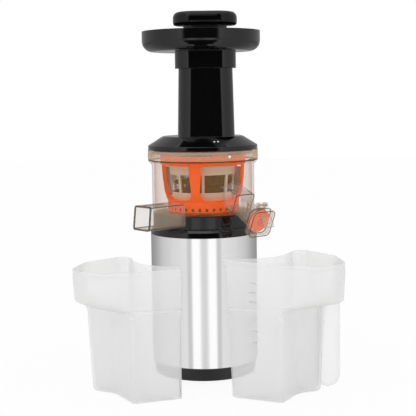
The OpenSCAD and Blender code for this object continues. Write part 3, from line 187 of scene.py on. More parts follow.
# Rounds of the tube as (how far it stands out, height above the level)
TUBE_FOOT = ((0.5, 0), (0.15, 0.25), (0, 0.9))
TUBE_MOUTH = ((0, -0.8), (-0.8, 0), (-TUBE_WALL, 0))

# Pusher cap and its rounds as (inset, height above its foot or its top)
CAP_SIZE = (72.7, 54)
CAP_CORNER = 25
CAP_LOW = 404.6
CAP_TOP = 420.2
CAP_FOOT = ((3.4, 0), (1.4, 0.5), (0.4, 1.5), (0, 3.2))
CAP_CROWN = ((0, -6.8), (0.35, -5), (1.2, -3.2), (2.4, -1.8), (4.2, -0.75), (6.6, -0.25),
             (11, -0.05), (18, 0))

# Strainer sheet
SHEET_LOW_R = 33.6
SHEET_HIGH_R = 37.7
SHEET_ROWS = 14
SHEET_COLUMNS = 150
SHEET_BAR = 0.4

# Spouts and the cover of the juice spout
PULP_SIDE = 14.1
PULP_TOP = 205.5
PULP_LEAN = 3
PULP_SIZE = (29.2, 27.4)
PULP_CORNER = 3.6
PULP_REACH = 102.5
PULP_LIP = 1.9
JUICE_SIDE = -3
JUICE_START = 75
JUICE_Z = 200
JUICE_SLOPE = 23
JUICE_LEN = 27
BLOCK_SIZE = (27, 24)
BLOCK_LIFT = 5
BLOCK_LINE_START = -12
FLANGE_R = 14
FLANGE_STEPS = 36
COVER_W = 31
COVER_DROP = 17
COVER_RISE = 14.6
COVER_DEPTH = 10
COVER_CORNER = 6
COVER_START = 2

# Painted shade: dark lines where the clear mouldings are thick and refraction shows their edges
# dark
LINE_W = 0.6
LINE_BAND = 1
LINE_GAP = 1
LINE_STEPS = 8
LINE_CORNER_SHARE = 0.3

# Plug of the spout as (radius or inset from its radius, distance from the seat)
PLUG_R = 13.3
PLUG_GAP = 0.25
PLUG_NECK = ((6.2, -3), (8, -3), (8, 0))
PLUG_EDGE = ((0.4, 0), (0, 0.4), (0, 1.4), (2, 1.6), (2, 3), (0, 3.2), (0, 4.8), (0.7, 5.4))
PLUG_RECESS = ((4.6, 5.4), (4.2, 5), (3.6, 5), (3.6, 1))
GASKET_R = 0.8
GASKET_IN = 0.6
GASKET_AT = 2.3

# Rim of the bowl, its haze and the painted shade line at its step as (inset from its radius,
# height above the neck)
BOWL_R = 60
RIM_R = 64.5
NECK_Z = 245.6
RIM_Z = 263.4
HAZE_OUTER = 0.1
HAZE_INNER = 0.5
HAZE_LIFT = 7.2
HAZE_DROP = 0.5
STEP_SHADE_LINE = ((3.4, 4.6), (0.7, 5.2), (0.7, 6.4), (3.4, 6.4))

# Notches of the brush ring, with dark plates of painted shade in them
BRUSH_RING_R = 41.8
NOTCHES = 32
NOTCH_SIZE = (3.1, 3.5)
NOTCH_Z = 195.4
NOTCH_SHADE_T = 0.5
NOTCH_SHADE_IN = 0.75

# Rolled edges of the steel shell
SHELL_BEADS = {"top": 165.2, "bottom": 16.3}
SHELL_BEAD_R = 62.1
BEAD_R = 0.36
BEAD_STEPS = 10


# Mesh helpers


def point(x, y, z):
    return Vector((x, y, z)) * MM


def polar(r, degrees):
    a = math.radians(degrees)
    return r * math.cos(a), r * math.sin(a)


def rounded(corners, steps=CORNER_STEPS):
    """Outline points round the corners [x, y, radius], in order."""
    made = []
    count = len(corners)
    for i in range(count):
        before, corner, after = corners[i - 1], corners[i], corners[(i + 1) % count]
        made += fillet(before, corner, after, steps)
    return made


def fillet(before, corner, after, steps):
    apex = Vector(corner[:2])
    back = (Vector(before[:2]) - apex).normalized()
    ahead = (Vector(after[:2]) - apex).normalized()
    half = back.angle(ahead) / 2
    radius = corner[2]
    start = apex + back * radius / math.tan(half)
    end = apex + ahead * radius / math.tan(half)
    centre = apex + (back + ahead).normalized() * radius / math.sin(half)
    first = math.atan2(start.y - centre.y, start.x - centre.x)
    last = math.atan2(end.y - centre.y, end.x - centre.x)
    sweep = (last - first + 3 * math.pi) % TAU - math.pi
    turns = [first + sweep * i / steps for i in range(steps + 1)]
    return [(centre.x + radius * math.cos(a), centre.y + radius * math.sin(a)) for a in turns]


def inset(points, depth):
    """The outline moved inwards, for points that run anticlockwise."""
    moved = []
    count = len(points)
    for i in range(count):
        along = (Vector(points[(i + 1) % count]) - Vector(points[i - 1])).normalized()
        moved.append((points[i][0] - along.y * depth, points[i][1] + along.x * depth))
    return moved


def round_box(width, depth, radius, place=(0, 0), steps=CORNER_STEPS):
    w, d = width / 2, depth / 2
    corners = [(-w, -d, radius), (w, -d, radius), (w, d, radius), (-w, d, radius)]
    return [(x + place[0], y + place[1]) for x, y in rounded(corners, steps)]


def circle(radius):
    """Large circle that starts in the same corner as a round box."""
    return [polar(radius, 360 * i / ROUND_STEPS + CIRCLE_START) for i in range(ROUND_STEPS)]


def bead(radius, steps=BEAD_STEPS):
    """Round section of a bead, a flange or a seal ring."""
    return [polar(radius, 360 * i / steps) for i in range(steps)]


def add_ring(bm, points, height):
    """Closed loop of edges at a height, or at a list of heights."""
    heights = height if isinstance(height, list) else [height] * len(points)
    verts = [bm.verts.new(point(x, y, z)) for (x, y), z in zip(points, heights)]
    return [bm.edges.new((verts[i - 1], verts[i])) for i in range(len(verts))]


def skin(bm, rings, closed=False):
    """Bridges each ring to the next, and fills both ends unless the last meets the first."""
    loops = [add_ring(bm, points, height) for points, height in rings]
    pairs = list(zip(loops, loops[1:]))
    if closed:
        pairs.append((loops[-1], loops[0]))
    for first, second in pairs:
        bmesh.ops.bridge_loops(bm, edges=first + second)
    if not closed:
        for loop in (loops[0], loops[-1]):
            bmesh.ops.contextual_create(bm, geom=loop)


def revolve(bm, profile, degrees=360, start=0, steps=ROUND_STEPS):
    """Spins an outline of (radius, height) points about the drive axis."""
    verts = [bm.verts.new(point(r, 0, z)) for r, z in profile]
    edges = [bm.edges.new(pair) for pair in zip(verts, verts[1:])]
    full = degrees == 360
    if not full:
        edges.append(bm.edges.new((verts[-1], verts[0])))
        face = bm.faces.new(verts)
        bmesh.ops.rotate(bm, verts=verts, cent=(0, 0, 0),
                         matrix=Matrix.Rotation(math.radians(start), 3, "Z"))
        bmesh.ops.spin(bm, geom=verts + edges + [face], cent=(0, 0, 0), axis=(0, 0, 1),
                       angle=math.radians(degrees), steps=steps, use_merge=False)
        return
    bmesh.ops.spin(bm, geom=verts + edges, cent=(0, 0, 0), axis=(0, 0, 1),
                   angle=TAU, steps=steps, use_merge=True)


def solid_of(profile):
    return profile + [profile[0]]


def move_all(bm, matrix, verts=None):
    bmesh.ops.transform(bm, matrix=matrix, verts=verts or bm.verts)


def spout_frame(turn):
    return Matrix.Rotation(math.radians(turn - 90), 4, "Z")


def piece(name, bm, body, material, stands_for=()):
    """Makes an object from the mesh, dresses it and lets it ride on a body."""
    bmesh.ops.remove_doubles(bm, verts=bm.verts, dist=MERGE_GAP)
    bmesh.ops.recalc_face_normals(bm, faces=bm.faces)
    for face in bm.faces:
        face.smooth = True
    for edge in bm.edges:
        if len(edge.link_faces) == 2 and edge.calc_face_angle() > SHARP_EDGE:
            edge.smooth = False
    mesh = bpy.data.meshes.new(name)
    bm.to_mesh(mesh)
    bm.free()
    made = bpy.data.objects.new(name, mesh)
    scene.collection.objects.link(made)
    mesh.materials.append(material)
    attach(made, body)
    if stands_for:
        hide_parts(*stands_for)
    return made


# Camera and studio


def make_camera():
    """Camera that stands where the photograph was taken from."""
    pitch = math.radians(CAMERA_PITCH)
    roll = math.radians(CAMERA_ROLL)
    ahead = Vector((0, math.cos(pitch), -math.sin(pitch)))
    level_right = Vector((1, 0, 0))
    level_up = level_right.cross(ahead)
    right = level_right * math.cos(roll) - level_up * math.sin(roll)
    up = level_up * math.cos(roll) + level_right * math.sin(roll)
    data = bpy.data.cameras.new("camera")
    data.sensor_width = SENSOR_WIDTH
    data.lens = FOCAL_PIXELS / PHOTO_PIXELS * SENSOR_WIDTH
    data.clip_start = CLIP_START
    data.clip_end = CLIP_END
    camera = bpy.data.objects.new("camera", data)
    axes = Matrix((right, up, -ahead)).transposed().to_4x4()
    camera.matrix_world = Matrix.Translation(point(*CAMERA_PLACE)) @ axes
    scene.collection.objects.link(camera)
    scene.camera = camera


def feed(tree, socket, value):
    """Links the output of another node to the socket, or sets a plain value on it."""
    if isinstance(value, bpy.types.NodeSocket):
        tree.links.new(value, socket)
    else:
        socket.default_value = value


def ramp(tree, stops):
    """Grey ramp through stops of (place from 0 to 1, level)."""
    node = tree.nodes.new("ShaderNodeValToRGB")
    node.color_ramp.interpolation = "LINEAR"
    elements = node.color_ramp.elements
    while len(elements) < len(stops):
        elements.new(1)
    for element, (place, level) in zip(elements, sorted(stops)):
        element.position = place
        element.color = (level, level, level, 1)
    return node


def math_node(tree, operation, a, b=None, clamp=False):
    node = tree.nodes.new("ShaderNodeMath")
    node.operation = operation
    node.use_clamp = clamp
    feed(tree, node.inputs[0], a)
    if b is not None:
        feed(tree, node.inputs[1], b)
    return node.outputs[0]


def mix_shader(tree, share, first, second):
    node = tree.nodes.new("ShaderNodeMixShader")
    for socket, value in zip(node.inputs, (share, first, second)):
        tree.links.new(value, socket)
    return node.outputs[0]


def seen_directly(tree, path):
    """1 for what the camera sees, straight or through clear plastic, and 0 for other rays."""
    return math_node(tree, "MAXIMUM", path.outputs["Is Camera Ray"],
                     path.outputs["Is Transmission Ray"])


def blend(tree, share, first, second, kind="FLOAT"):
    """Mix node for numbers, or for colours where kind is RGBA."""
    node = tree.nodes.new("ShaderNodeMix")
    node.data_type = kind
    for label, value in zip(("Factor", "A", "B"), (share, first, second)):
        feed(tree, node.inputs[label], value)
    return node.outputs["Result"]


# Studio as gloss and metal show it: degrees off the camera side, brightness.
# The table stripes fill a band just under the horizon, the flag and softboxes all else.
TABLE_STRIPES = [(0, 0.72), (6, 0.80), (9, 1.0), (11, 1.12), (25, 1.12), (28, 0.66), (35, 0.62),
                 (38, 0.82), (50, 0.80), (72, 0.74), (100, 0.62), (127, 0.40), (150, 0.32),
                 (180, 0.30)]
FLAG_AND_BOXES = [(0, 0.02), (31, 0.02), (35, 0.60), (38, 1.10), (48, 0.85), (75, 0.70),
                  (110, 0.60), (150, 0.45), (180, 0.40)]
BAND_HEIGHTS = [(-90, 0), (-20, 0), (-17, 1), (-5, 1), (-3, 0), (90, 0)]
TOP_BOX = [(-90, 0), (50, 0), (62, 1), (90, 1)]
TOP_LEVEL = 1.15
SOFT_FILL = 0.97


def angle_share(degrees):
    """Where sin of an elevation lands on a ramp from straight down to straight up."""
    return math.sin(math.radians(degrees)) / 2 + 0.5


def make_world():
    """White behind the product, soft light round it, softboxes and a flag for its gloss."""
    world = bpy.data.worlds.new("studio")
    scene.world = world
    world.use_nodes = True
    tree = world.node_tree
    tree.nodes.clear()
    coords = tree.nodes.new("ShaderNodeTexCoord")
    split = tree.nodes.new("ShaderNodeSeparateXYZ")
    tree.links.new(coords.outputs["Generated"], split.inputs[0])
    side = math_node(tree, "ABSOLUTE", split.outputs[0])
    back = math_node(tree, "MULTIPLY", split.outputs[1], -1)
    turn = math_node(tree, "ARCTAN2", side, back)
    share = math_node(tree, "DIVIDE", turn, math.pi)
    half = math_node(tree, "MULTIPLY", split.outputs[2], 0.5)
    tall = math_node(tree, "ADD", half, 0.5)
    levels = []
    for stops, across, value in ((TABLE_STRIPES, False, share), (FLAG_AND_BOXES, False, share),
                                 (BAND_HEIGHTS, True, tall), (TOP_BOX, True, tall)):
        places = [(angle_share(d) if across else d / 180, level) for d, level in stops]
        shades = ramp(tree, places)
        tree.links.new(value, shades.inputs[0])
        levels.append(shades.outputs[0])
    stripes, boxes, band, top = levels
    round_level = blend(tree, band, boxes, stripes)
    level = blend(tree, top, round_level, TOP_LEVEL)
    path = tree.nodes.new("ShaderNodeLightPath")
    glossy = blend(tree, path.outputs["Is Glossy Ray"], SOFT_FILL, level)
    studio = tree.nodes.new("ShaderNodeBackground")
    tree.links.new(glossy, studio.inputs["Color"])
    white = tree.nodes.new("ShaderNodeBackground")
    white.inputs["Color"].default_value = (1, 1, 1, 1)
    mixed = mix_shader(tree, seen_directly(tree, path), studio.outputs[0], white.outputs[0])
    out = tree.nodes.new("ShaderNodeOutputWorld")
    tree.links.new(mixed, out.inputs["Surface"])


# Floor and lamp, in metres and watts but for the two places in millimetres
FLOOR_HALF = 4.0
FLOOR_DROP = 0.0003
FLOOR_WHITE = (0.9, 0.9, 0.9, 1)
FLOOR_SHADOW = 0.10
LAMP_PLACE = (-300, -900, 1500)
LAMP_AIM = (0, 0, 200)
LAMP_WIDTH = 1.3
LAMP_WATTS = 3


def make_floor():
    """White floor that keeps a faint shadow and is left out of mirror reflections."""
    bm = bmesh.new()
    bmesh.ops.create_grid(bm, x_segments=2, y_segments=2, size=FLOOR_HALF)
    bmesh.ops.translate(bm, verts=bm.verts, vec=(0, 0, -FLOOR_DROP))
    mesh = bpy.data.meshes.new("floor")
    bm.to_mesh(mesh)
    bm.free()
    floor = bpy.data.objects.new("floor", mesh)
    scene.collection.objects.link(floor)
    material = bpy.data.materials.new("floor_white")
    material.use_nodes = True
    tree = material.node_tree
    tree.nodes.clear()
    matt = tree.nodes.new("ShaderNodeBsdfDiffuse")
    matt.inputs["Color"].default_value = FLOOR_WHITE
    glow = tree.nodes.new("ShaderNodeEmission")
    path = tree.nodes.new("ShaderNodeLightPath")
    share = math_node(tree, "MULTIPLY", seen_directly(tree, path), 1 - FLOOR_SHADOW)
    mixed = mix_shader(tree, share, matt.outputs[0], glow.outputs[0])
    clear = tree.nodes.new("ShaderNodeBsdfTransparent")
    mirrored = mix_shader(tree, path.outputs["Is Glossy Ray"], mixed, clear.outputs[0])
    out = tree.nodes.new("ShaderNodeOutputMaterial")
    tree.links.new(mirrored, out.inputs["Surface"])
    mesh.materials.append(material)


def make_lamp():
    """Wide soft lamp above the front, a little to the left."""
    data = bpy.data.lights.new("top_softbox", "AREA")
    data.shape = "SQUARE"
    data.size = LAMP_WIDTH
    data.energy = LAMP_WATTS
    lamp = bpy.data.objects.new("top_softbox", data)
    place = point(*LAMP_PLACE)
    lamp.location = place
    lamp.rotation_euler = (point(*LAMP_AIM) - place).to_track_quat("-Z", "Y").to_euler()
    scene.collection.objects.link(lamp)


# Materials, with widths and bump distances in metres as the shader nodes take them

EDGE_WIDTH = 0.0006
EDGE_CONTRAST = 9
EDGE_SAMPLES = 4
# Painted highlight: edges without an edge colour of their own are painted this many times
# lighter
EDGE_HIGHLIGHT = 1.5
MOTTLE = 0.06
GLOSS_SPAN = 0.06
GRAIN_SIZE = 900
GRAIN_DEPTH = 0.05
GRAIN_BUMP = 0.0002
GRAIN_DETAIL = 3
SMUDGE_SIZE = 18
SMUDGE_DETAIL = 5
SMUDGE_ROUGHNESS = 0.6
CLEAR_GRAIN_SIZE = 500
CLEAR_GRAIN_DEPTH = 0.02
CLEAR_GLOSS_SPAN = (0.8, 1.25)
CLEAR_RIM_POWER = 2.5
CLEAR_CORNER_WIDTH = 0.0009
LINE_COUNT = 2600
LINE_DEPTH = 0.16
LINE_BUMP = 0.00005
LINE_DETAIL = 2
LINE_STRETCH = 1.5
SHEET_SHADES = (0.93, 1.06)
SHEET_GLOSS_SPAN = (-0.05, 0.06)


def new_group(name, inputs, outputs):
    """Shader node group with float inputs {name: value} and outputs {name: kind}."""
    group = bpy.data.node_groups.new(name, "ShaderNodeTree")
    for label, value in inputs.items():
        socket = group.interface.new_socket(label, in_out="INPUT", socket_type="NodeSocketFloat")
        socket.default_value = value
    for label, kind in outputs.items():
        group.interface.new_socket(label, in_out="OUTPUT", socket_type=kind)
    return group, group.nodes.new("NodeGroupInput"), group.nodes.new("NodeGroupOutput")


def add_noise(group, vector, scale, detail):
    node = group.nodes.new("ShaderNodeTexNoise")
    node.inputs["Detail"].default_value = detail
    group.links.new(vector, node.inputs["Vector"])
    feed(group, node.inputs["Scale"], scale)
    return node


def add_bump(group, height, strength, distance):
    node = group.nodes.new("ShaderNodeBump")
    node.inputs["Distance"].default_value = distance
    group.links.new(strength, node.inputs["Strength"])
    group.links.new(height, node.inputs["Height"])
    return node


def moulding_grain():
    """Fine grain, slow smudges and an edge mask, plain and patchy, for painted edge colour of a
    moulded or sheet part.
    """
    group, given, out = new_group(
        "moulding_grain",
        {"Grain Size": GRAIN_SIZE, "Grain Depth": GRAIN_DEPTH, "Smudge Size": SMUDGE_SIZE,
         "Edge Width": EDGE_WIDTH},
        {"Smudge": "NodeSocketFloat", "Corner": "NodeSocketFloat", "Edge": "NodeSocketFloat",
         "Normal": "NodeSocketVector"})
    link = group.links.new
    coords = group.nodes.new("ShaderNodeTexCoord")
    place = coords.outputs["Object"]
    grain = add_noise(group, place, given.outputs["Grain Size"], GRAIN_DETAIL)
    smudge = add_noise(group, place, given.outputs["Smudge Size"], SMUDGE_DETAIL)
    smudge.inputs["Roughness"].default_value = SMUDGE_ROUGHNESS
    bevel = group.nodes.new("ShaderNodeBevel")
    bevel.samples = EDGE_SAMPLES
    link(given.outputs["Edge Width"], bevel.inputs["Radius"])
    surface = group.nodes.new("ShaderNodeNewGeometry")
    same = group.nodes.new("ShaderNodeVectorMath")
    same.operation = "DOT_PRODUCT"
    link(bevel.outputs[0], same.inputs[0])
    link(surface.outputs["Normal"], same.inputs[1])
    turned = math_node(group, "SUBTRACT", 1, same.outputs["Value"])
    # Edge mask from the bevelled normal: it places the painted edge highlight, and the painted
    # edge colour of clear parts
    painted_edge = math_node(group, "MULTIPLY", turned, EDGE_CONTRAST, clamp=True)
    patchy = math_node(group, "MULTIPLY", painted_edge, smudge.outputs["Fac"])
    bump = add_bump(group, grain.outputs["Fac"], given.outputs["Grain Depth"], GRAIN_BUMP)
    link(bevel.outputs[0], bump.inputs["Normal"])
    link(smudge.outputs["Fac"], out.inputs["Smudge"])
    link(painted_edge, out.inputs["Corner"])
    link(patchy, out.inputs["Edge"])
    link(bump.outputs[0], out.inputs["Normal"])
    return group


def brushed_lines():
    """Hair lines that run round the drive axis, as belt brushing leaves them."""
    group, given, out = new_group(
        "brushed_lines", {"Line Count": LINE_COUNT, "Depth": LINE_DEPTH},
        {"Lines": "NodeSocketFloat", "Normal": "NodeSocketVector"})
    link = group.links.new
    coords = group.nodes.new("ShaderNodeTexCoord")
    split = group.nodes.new("ShaderNodeSeparateXYZ")
    link(coords.outputs["Object"], split.inputs[0])
    turn = math_node(group, "ARCTAN2", split.outputs[1], split.outputs[0])
    slow = math_node(group, "MULTIPLY", turn, LINE_STRETCH)
    tall = math_node(group, "MULTIPLY", split.outputs[2], given.outputs["Line Count"])
    joined = group.nodes.new("ShaderNodeCombineXYZ")
    link(slow, joined.inputs[0])
    link(tall, joined.inputs[1])
    noise = add_noise(group, joined.outputs[0], 1, LINE_DETAIL)
    bump = add_bump(group, noise.outputs["Fac"], given.outputs["Depth"], LINE_BUMP)
    link(noise.outputs["Fac"], out.inputs["Lines"])
    link(bump.outputs[0], out.inputs["Normal"])
    return group


GRAIN = moulding_grain()
LINES = brushed_lines()


def tint(colour, factor):
    return tuple(min(1, c * factor) for c in colour) + (1,)


def map_value(tree, value, low, high):
    node = tree.nodes.new("ShaderNodeMapRange")
    tree.links.new(value, node.inputs["Value"])
    node.inputs["To Min"].default_value = low
    node.inputs["To Max"].default_value = high
    return node.outputs["Result"]


def start_material(name):
    material = bpy.data.materials.new(name)
    material.use_nodes = True
    tree = material.node_tree
    return material, tree, tree.nodes["Principled BSDF"]


def place_group(tree, group, **values):
    """Node of the group with its inputs set, where _ in a name stands for a space."""
    node = tree.nodes.new("ShaderNodeGroup")
    node.node_tree = group
    for label, value in values.items():
        node.inputs[label.replace("_", " ")].default_value = value
    return node


def moulded(name, colour, rough, rough_span=GLOSS_SPAN, metal=0, painted_edge=None,
            grain_size=GRAIN_SIZE, grain_depth=GRAIN_DEPTH, specular=0.5, glow=0):
    """Solid finish: mottled colour, uneven gloss, fine grain, a painted highlight on its edges
    and, where glow is set, a painted glow.
    """
    material, tree, shader = start_material(name)
    grain = place_group(tree, GRAIN, Grain_Size=grain_size, Grain_Depth=grain_depth,
                        Edge_Width=EDGE_WIDTH)
    base = blend(tree, grain.outputs["Smudge"], tint(colour, 1 - MOTTLE),
                 tint(colour, 1 + MOTTLE), "RGBA")
    # Painted highlight: a lighter colour on the edges, patchy with the smudges
    highlight_colour = tint(painted_edge, 1) if painted_edge else tint(colour, EDGE_HIGHLIGHT)
    highlighted_base = blend(tree, grain.outputs["Edge"], base, highlight_colour, "RGBA")
    tree.links.new(highlighted_base, shader.inputs["Base Color"])
    gloss = map_value(tree, grain.outputs["Smudge"], rough - rough_span, rough + rough_span)
    tree.links.new(gloss, shader.inputs["Roughness"])
    tree.links.new(grain.outputs["Normal"], shader.inputs["Normal"])
    shader.inputs["Metallic"].default_value = metal
    shader.inputs["Specular IOR Level"].default_value = specular
    # Painted light: the part glows with its own colour, to make up for the shade it sits in
    if glow:
        tree.links.new(highlighted_base, shader.inputs["Emission Color"])
        shader.inputs["Emission Strength"].default_value = glow
    return material


def brushed_sheet(name, colour, rough):
    """Sheet steel with hair lines round the drive axis."""
    material, tree, shader = start_material(name)
    lines = place_group(tree, LINES, Line_Count=LINE_COUNT, Depth=LINE_DEPTH)
    base = blend(tree, lines.outputs["Lines"], tint(colour, SHEET_SHADES[0]),
                 tint(colour, SHEET_SHADES[1]), "RGBA")
    tree.links.new(base, shader.inputs["Base Color"])
    gloss = map_value(tree, lines.outputs["Lines"], rough + SHEET_GLOSS_SPAN[0],
                      rough + SHEET_GLOSS_SPAN[1])
    tree.links.new(gloss, shader.inputs["Roughness"])
    tree.links.new(lines.outputs["Normal"], shader.inputs["Normal"])
    shader.inputs["Metallic"].default_value = 1
    return material


def clear_plastic(name, colour, edge_paint_colour, thin, thick, rough, corner=0,
                  grain_depth=CLEAR_GRAIN_DEPTH, rim_power=CLEAR_RIM_POWER,
                  corner_width=CLEAR_CORNER_WIDTH):
    """Tinted see-through wall, denser where it is seen edge on or has a corner, with a painted
    edge colour there.
    """
    material, tree, shader = start_material(name)
    grain = place_group(tree, GRAIN, Grain_Size=CLEAR_GRAIN_SIZE, Grain_Depth=grain_depth,
                        Edge_Width=corner_width)
    facing = tree.nodes.new("ShaderNodeLayerWeight")
    facing.inputs["Blend"].default_value = 0.5
    rim = math_node(tree, "POWER", facing.outputs["Facing"], rim_power)
    cornered = math_node(tree, "MULTIPLY", grain.outputs["Corner"], corner)
    density_and_edge_paint = math_node(tree, "MAXIMUM", rim, cornered)
    # Painted edge colour where the wall is seen edge on or has a corner; the alpha rising there
    # is the longer path through the wall
    base = blend(tree, density_and_edge_paint, tint(colour, 1), tint(edge_paint_colour, 1), "RGBA")
    tree.links.new(base, shader.inputs["Base Color"])
    tree.links.new(map_value(tree, density_and_edge_paint, thin, thick), shader.inputs["Alpha"])
    gloss = map_value(tree, grain.outputs["Smudge"], rough * CLEAR_GLOSS_SPAN[0],
                      rough * CLEAR_GLOSS_SPAN[1])
    tree.links.new(gloss, shader.inputs["Roughness"])
    tree.links.new(grain.outputs["Normal"], shader.inputs["Normal"])
    return material


# The edge colours given below are painted highlights on the edges
BLACK_GLOSS = moulded("black_gloss", (0.0022, 0.0022, 0.0023), rough=0.085, rough_span=0.025,
                      grain_depth=0.012, painted_edge=(0.02, 0.02, 0.02))
BLACK_CAP = moulded("black_cap", (0.0015, 0.0015, 0.0015), rough=0.14, rough_span=0.04,
                    grain_depth=0.02, painted_edge=(0.012, 0.012, 0.012), specular=0.3)
CHARCOAL = moulded("charcoal", (0.021, 0.021, 0.021), rough=0.48, grain_size=1600,
                   grain_depth=0.25, painted_edge=(0.06, 0.06, 0.06))
GRAPHITE = moulded("graphite", (0.03, 0.032, 0.034), rough=0.35, grain_depth=0.1)
STEEL = brushed_sheet("steel_sheet", (0.9, 0.9, 0.9), rough=0.1)
STEEL_EDGE = moulded("steel_edge", (0.85, 0.85, 0.85), rough=0.15, metal=1, grain_depth=0.02)
# Edge colours of the clear plastics are painted: the darker and greyer ones are painted shade
# for the dark edges that refraction gives, the whiter one of the frosted jugs is a painted light
# edge
SMOKE = clear_plastic("smoke_tint", (0.55, 0.28, 0.07), (0.42, 0.30, 0.19), thin=0.12,
                      thick=0.55, rough=0.08, rim_power=4, corner=0.25)
SMOKE_SPOUT = clear_plastic("smoke_spout", (0.58, 0.47, 0.35), (0.05, 0.037, 0.024), thin=0.16,
                            thick=0.9, rough=0.08, rim_power=6, corner=0.8,
                            corner_width=0.0007)
FROST = clear_plastic("frosted_jug", (0.93, 0.93, 0.93), (0.98, 0.98, 0.98), thin=0.36,
                      thick=0.80, rough=0.34, grain_depth=0.12, rim_power=3, corner=0.45)
SMOKE_SHADE_LINE = clear_plastic("smoke_shade_line", (0.035, 0.027, 0.018), (0.02, 0.016, 0.012),
                           thin=0.78, thick=0.97, rough=0.12)
RIM_HAZE = clear_plastic("rim_haze", (0.90, 0.72, 0.56), (0.64, 0.52, 0.40), thin=0.20,
                         thick=0.5, rough=0.2)
AMBER_SHADE_LINE = clear_plastic("amber_shade_line", (0.20, 0.075, 0.02), (0.14, 0.06, 0.02), thin=0.55,
                           thick=0.9, rough=0.12)
# Painted light: the orange brush and plug glow a little, to make up for the shade inside the
# bowl and the cover
ORANGE = moulded("brush_orange", (1.0, 0.075, 0.002), rough=0.38, grain_depth=0.08,
                 painted_edge=(1.0, 0.16, 0.02), specular=0.3, glow=0.3)
ORANGE_SOFT = moulded("plug_orange", (1.0, 0.15, 0.05), rough=0.42, grain_depth=0.12,
                      painted_edge=(1.0, 0.3, 0.1), glow=0.25)
CREAM = moulded("cream", (0.74, 0.66, 0.52), rough=0.35, grain_depth=0.06)
MESH = moulded("strainer_sheet", (0.08, 0.077, 0.068), rough=0.38, metal=0.9, grain_depth=0.2)
RUBBER = moulded("black_rubber", (0.02, 0.02, 0.02), rough=0.62, grain_size=1400,
                 grain_depth=0.2, painted_edge=(0.05, 0.05, 0.05))
GREY_RUBBER = moulded("grey_rubber", (0.30, 0.31, 0.32), rough=0.55, grain_depth=0.15)
WHITE_MARK = moulded("white_mark", (0.88, 0.88, 0.88), rough=0.4)
PLATED = moulded("plated_steel", (0.62, 0.62, 0.62), rough=0.18, metal=1, grain_depth=0.05)
LAMINATED = moulded("stacked_sheets", (0.30, 0.31, 0.32), rough=0.42, metal=0.8,
                    grain_depth=0.3)
COPPER = moulded("varnished_wire", (0.62, 0.24, 0.09), rough=0.3, metal=0.8, grain_size=420,
                 grain_depth=0.7)
CASTING = moulded("cast_metal", (0.50, 0.51, 0.52), rough=0.45, metal=0.9, grain_depth=0.35,
                  painted_edge=(0.7, 0.7, 0.7))
GEAR_WHITE = moulded("gear_plastic", (0.70, 0.66, 0.55), rough=0.4, grain_depth=0.08)
CASE_WHITE = moulded("case_plastic", (0.72, 0.70, 0.64), rough=0.4, grain_depth=0.08)

DRESS = {
    CHARCOAL: ["base_ring", "bottom_cover"],
    BLACK_GLOSS: ["base_top", "feed_tray", "switch_bezel", "rocker", "lid"],
    BLACK_CAP: ["pusher_cap"],
    STEEL: ["steel_shell"],
    RUBBER: ["rubber_feet", "output_seal", "rim_seal", "cap_gasket"],
    PLATED: ["cover_screws", "tie_bolts", "gearbox_screws", "layshaft_pin", "idler_pin",
             "motor_shaft", "drive_shaft", "lower_bearing", "upper_bearing",
             "output_bearing", "capacitor_clip"],
    LAMINATED: ["motor_stator", "rotor_core"],
    COPPER: ["stator_windings"],
    CASTING: ["lower_bracket", "upper_bracket", "gearbox_plate", "gearbox_cover",
              "output_gear"],
    CASE_WHITE: ["run_capacitor", "terminal_block", "auger_bush"],
    GRAPHITE: ["cooling_fan", "auger", "pusher_stem", "cord_gland"],
    GEAR_WHITE: ["layshaft_gear", "idler_gear", "auger_gear"],
    SMOKE: ["bowl"],
    SMOKE_SPOUT: ["cap_cover", "pulp_chute", "juice_chute"],
    FROST: ["juice_jug", "pulp_jug"],
    CREAM: ["strainer_frame", "cap_hinge_pin"],
    MESH: ["strainer_mesh"],
    WHITE_MARK: ["alignment_dot", "lock_dots"],
    ORANGE: ["brush_frame"],
    ORANGE_SOFT: ["cap_plug"],
    GREY_RUBBER: ["wiper_blades", "lid_seal", "shaft_seal"],
}


def dress_solids():
    for material, nodes in DRESS.items():
        for node in nodes:
            mesh = bpy.data.objects[node].data
            mesh.materials.clear()
            mesh.materials.append(material)


# Jugs


def nest_wall(grow, back_turn):
    """Hollow wall of a jug that wraps the base, from the pour tip to the heel."""
    turns = [-NEST_TURN + (NEST_TURN + back_turn) * i / NEST_STEPS
             for i in range(NEST_STEPS + 1)]
    return [polar(NEST_R - grow, -a) for a in turns]


def open_corners(corners):
    """Rounds the corners of an open line, all but its two ends."""
    made = []
    for before, corner, after in zip(corners, corners[1:], corners[2:]):
        made += fillet(before, corner, after, CORNER_STEPS)
    return made


def jug_upper(jug, grow, flare=0, back=0):
    """Outline above the step, grown outwards, with a flared tip or a far end drawn back."""
    front, tip = jug["front"], jug["tip"]
    reach = jug["reach"] - back
    slope = (tip[1] - front[1]) / (tip[0] - front[0])
    x, y = LOBE[0] - grow, LOBE[1]
    return nest_wall(grow, NEST_TURN) + open_corners([
        (x, -y, 0), (x - LOBE_LEAD, JUG_SIDE - grow, JUG_CORNERS[0]),
        (JUG_SHOULDER[0], JUG_SHOULDER[1] - grow, JUG_CORNERS[1]),
        (reach + grow, JUG_FAR_Y - grow, JUG_CORNERS[2]),
        (reach + grow, front[1] + grow + slope * (reach - front[0]), JUG_CORNERS[3]),
        (tip[0] - flare - grow, tip[1] + flare + grow, JUG_CORNERS[4]), (x, y, 0)])


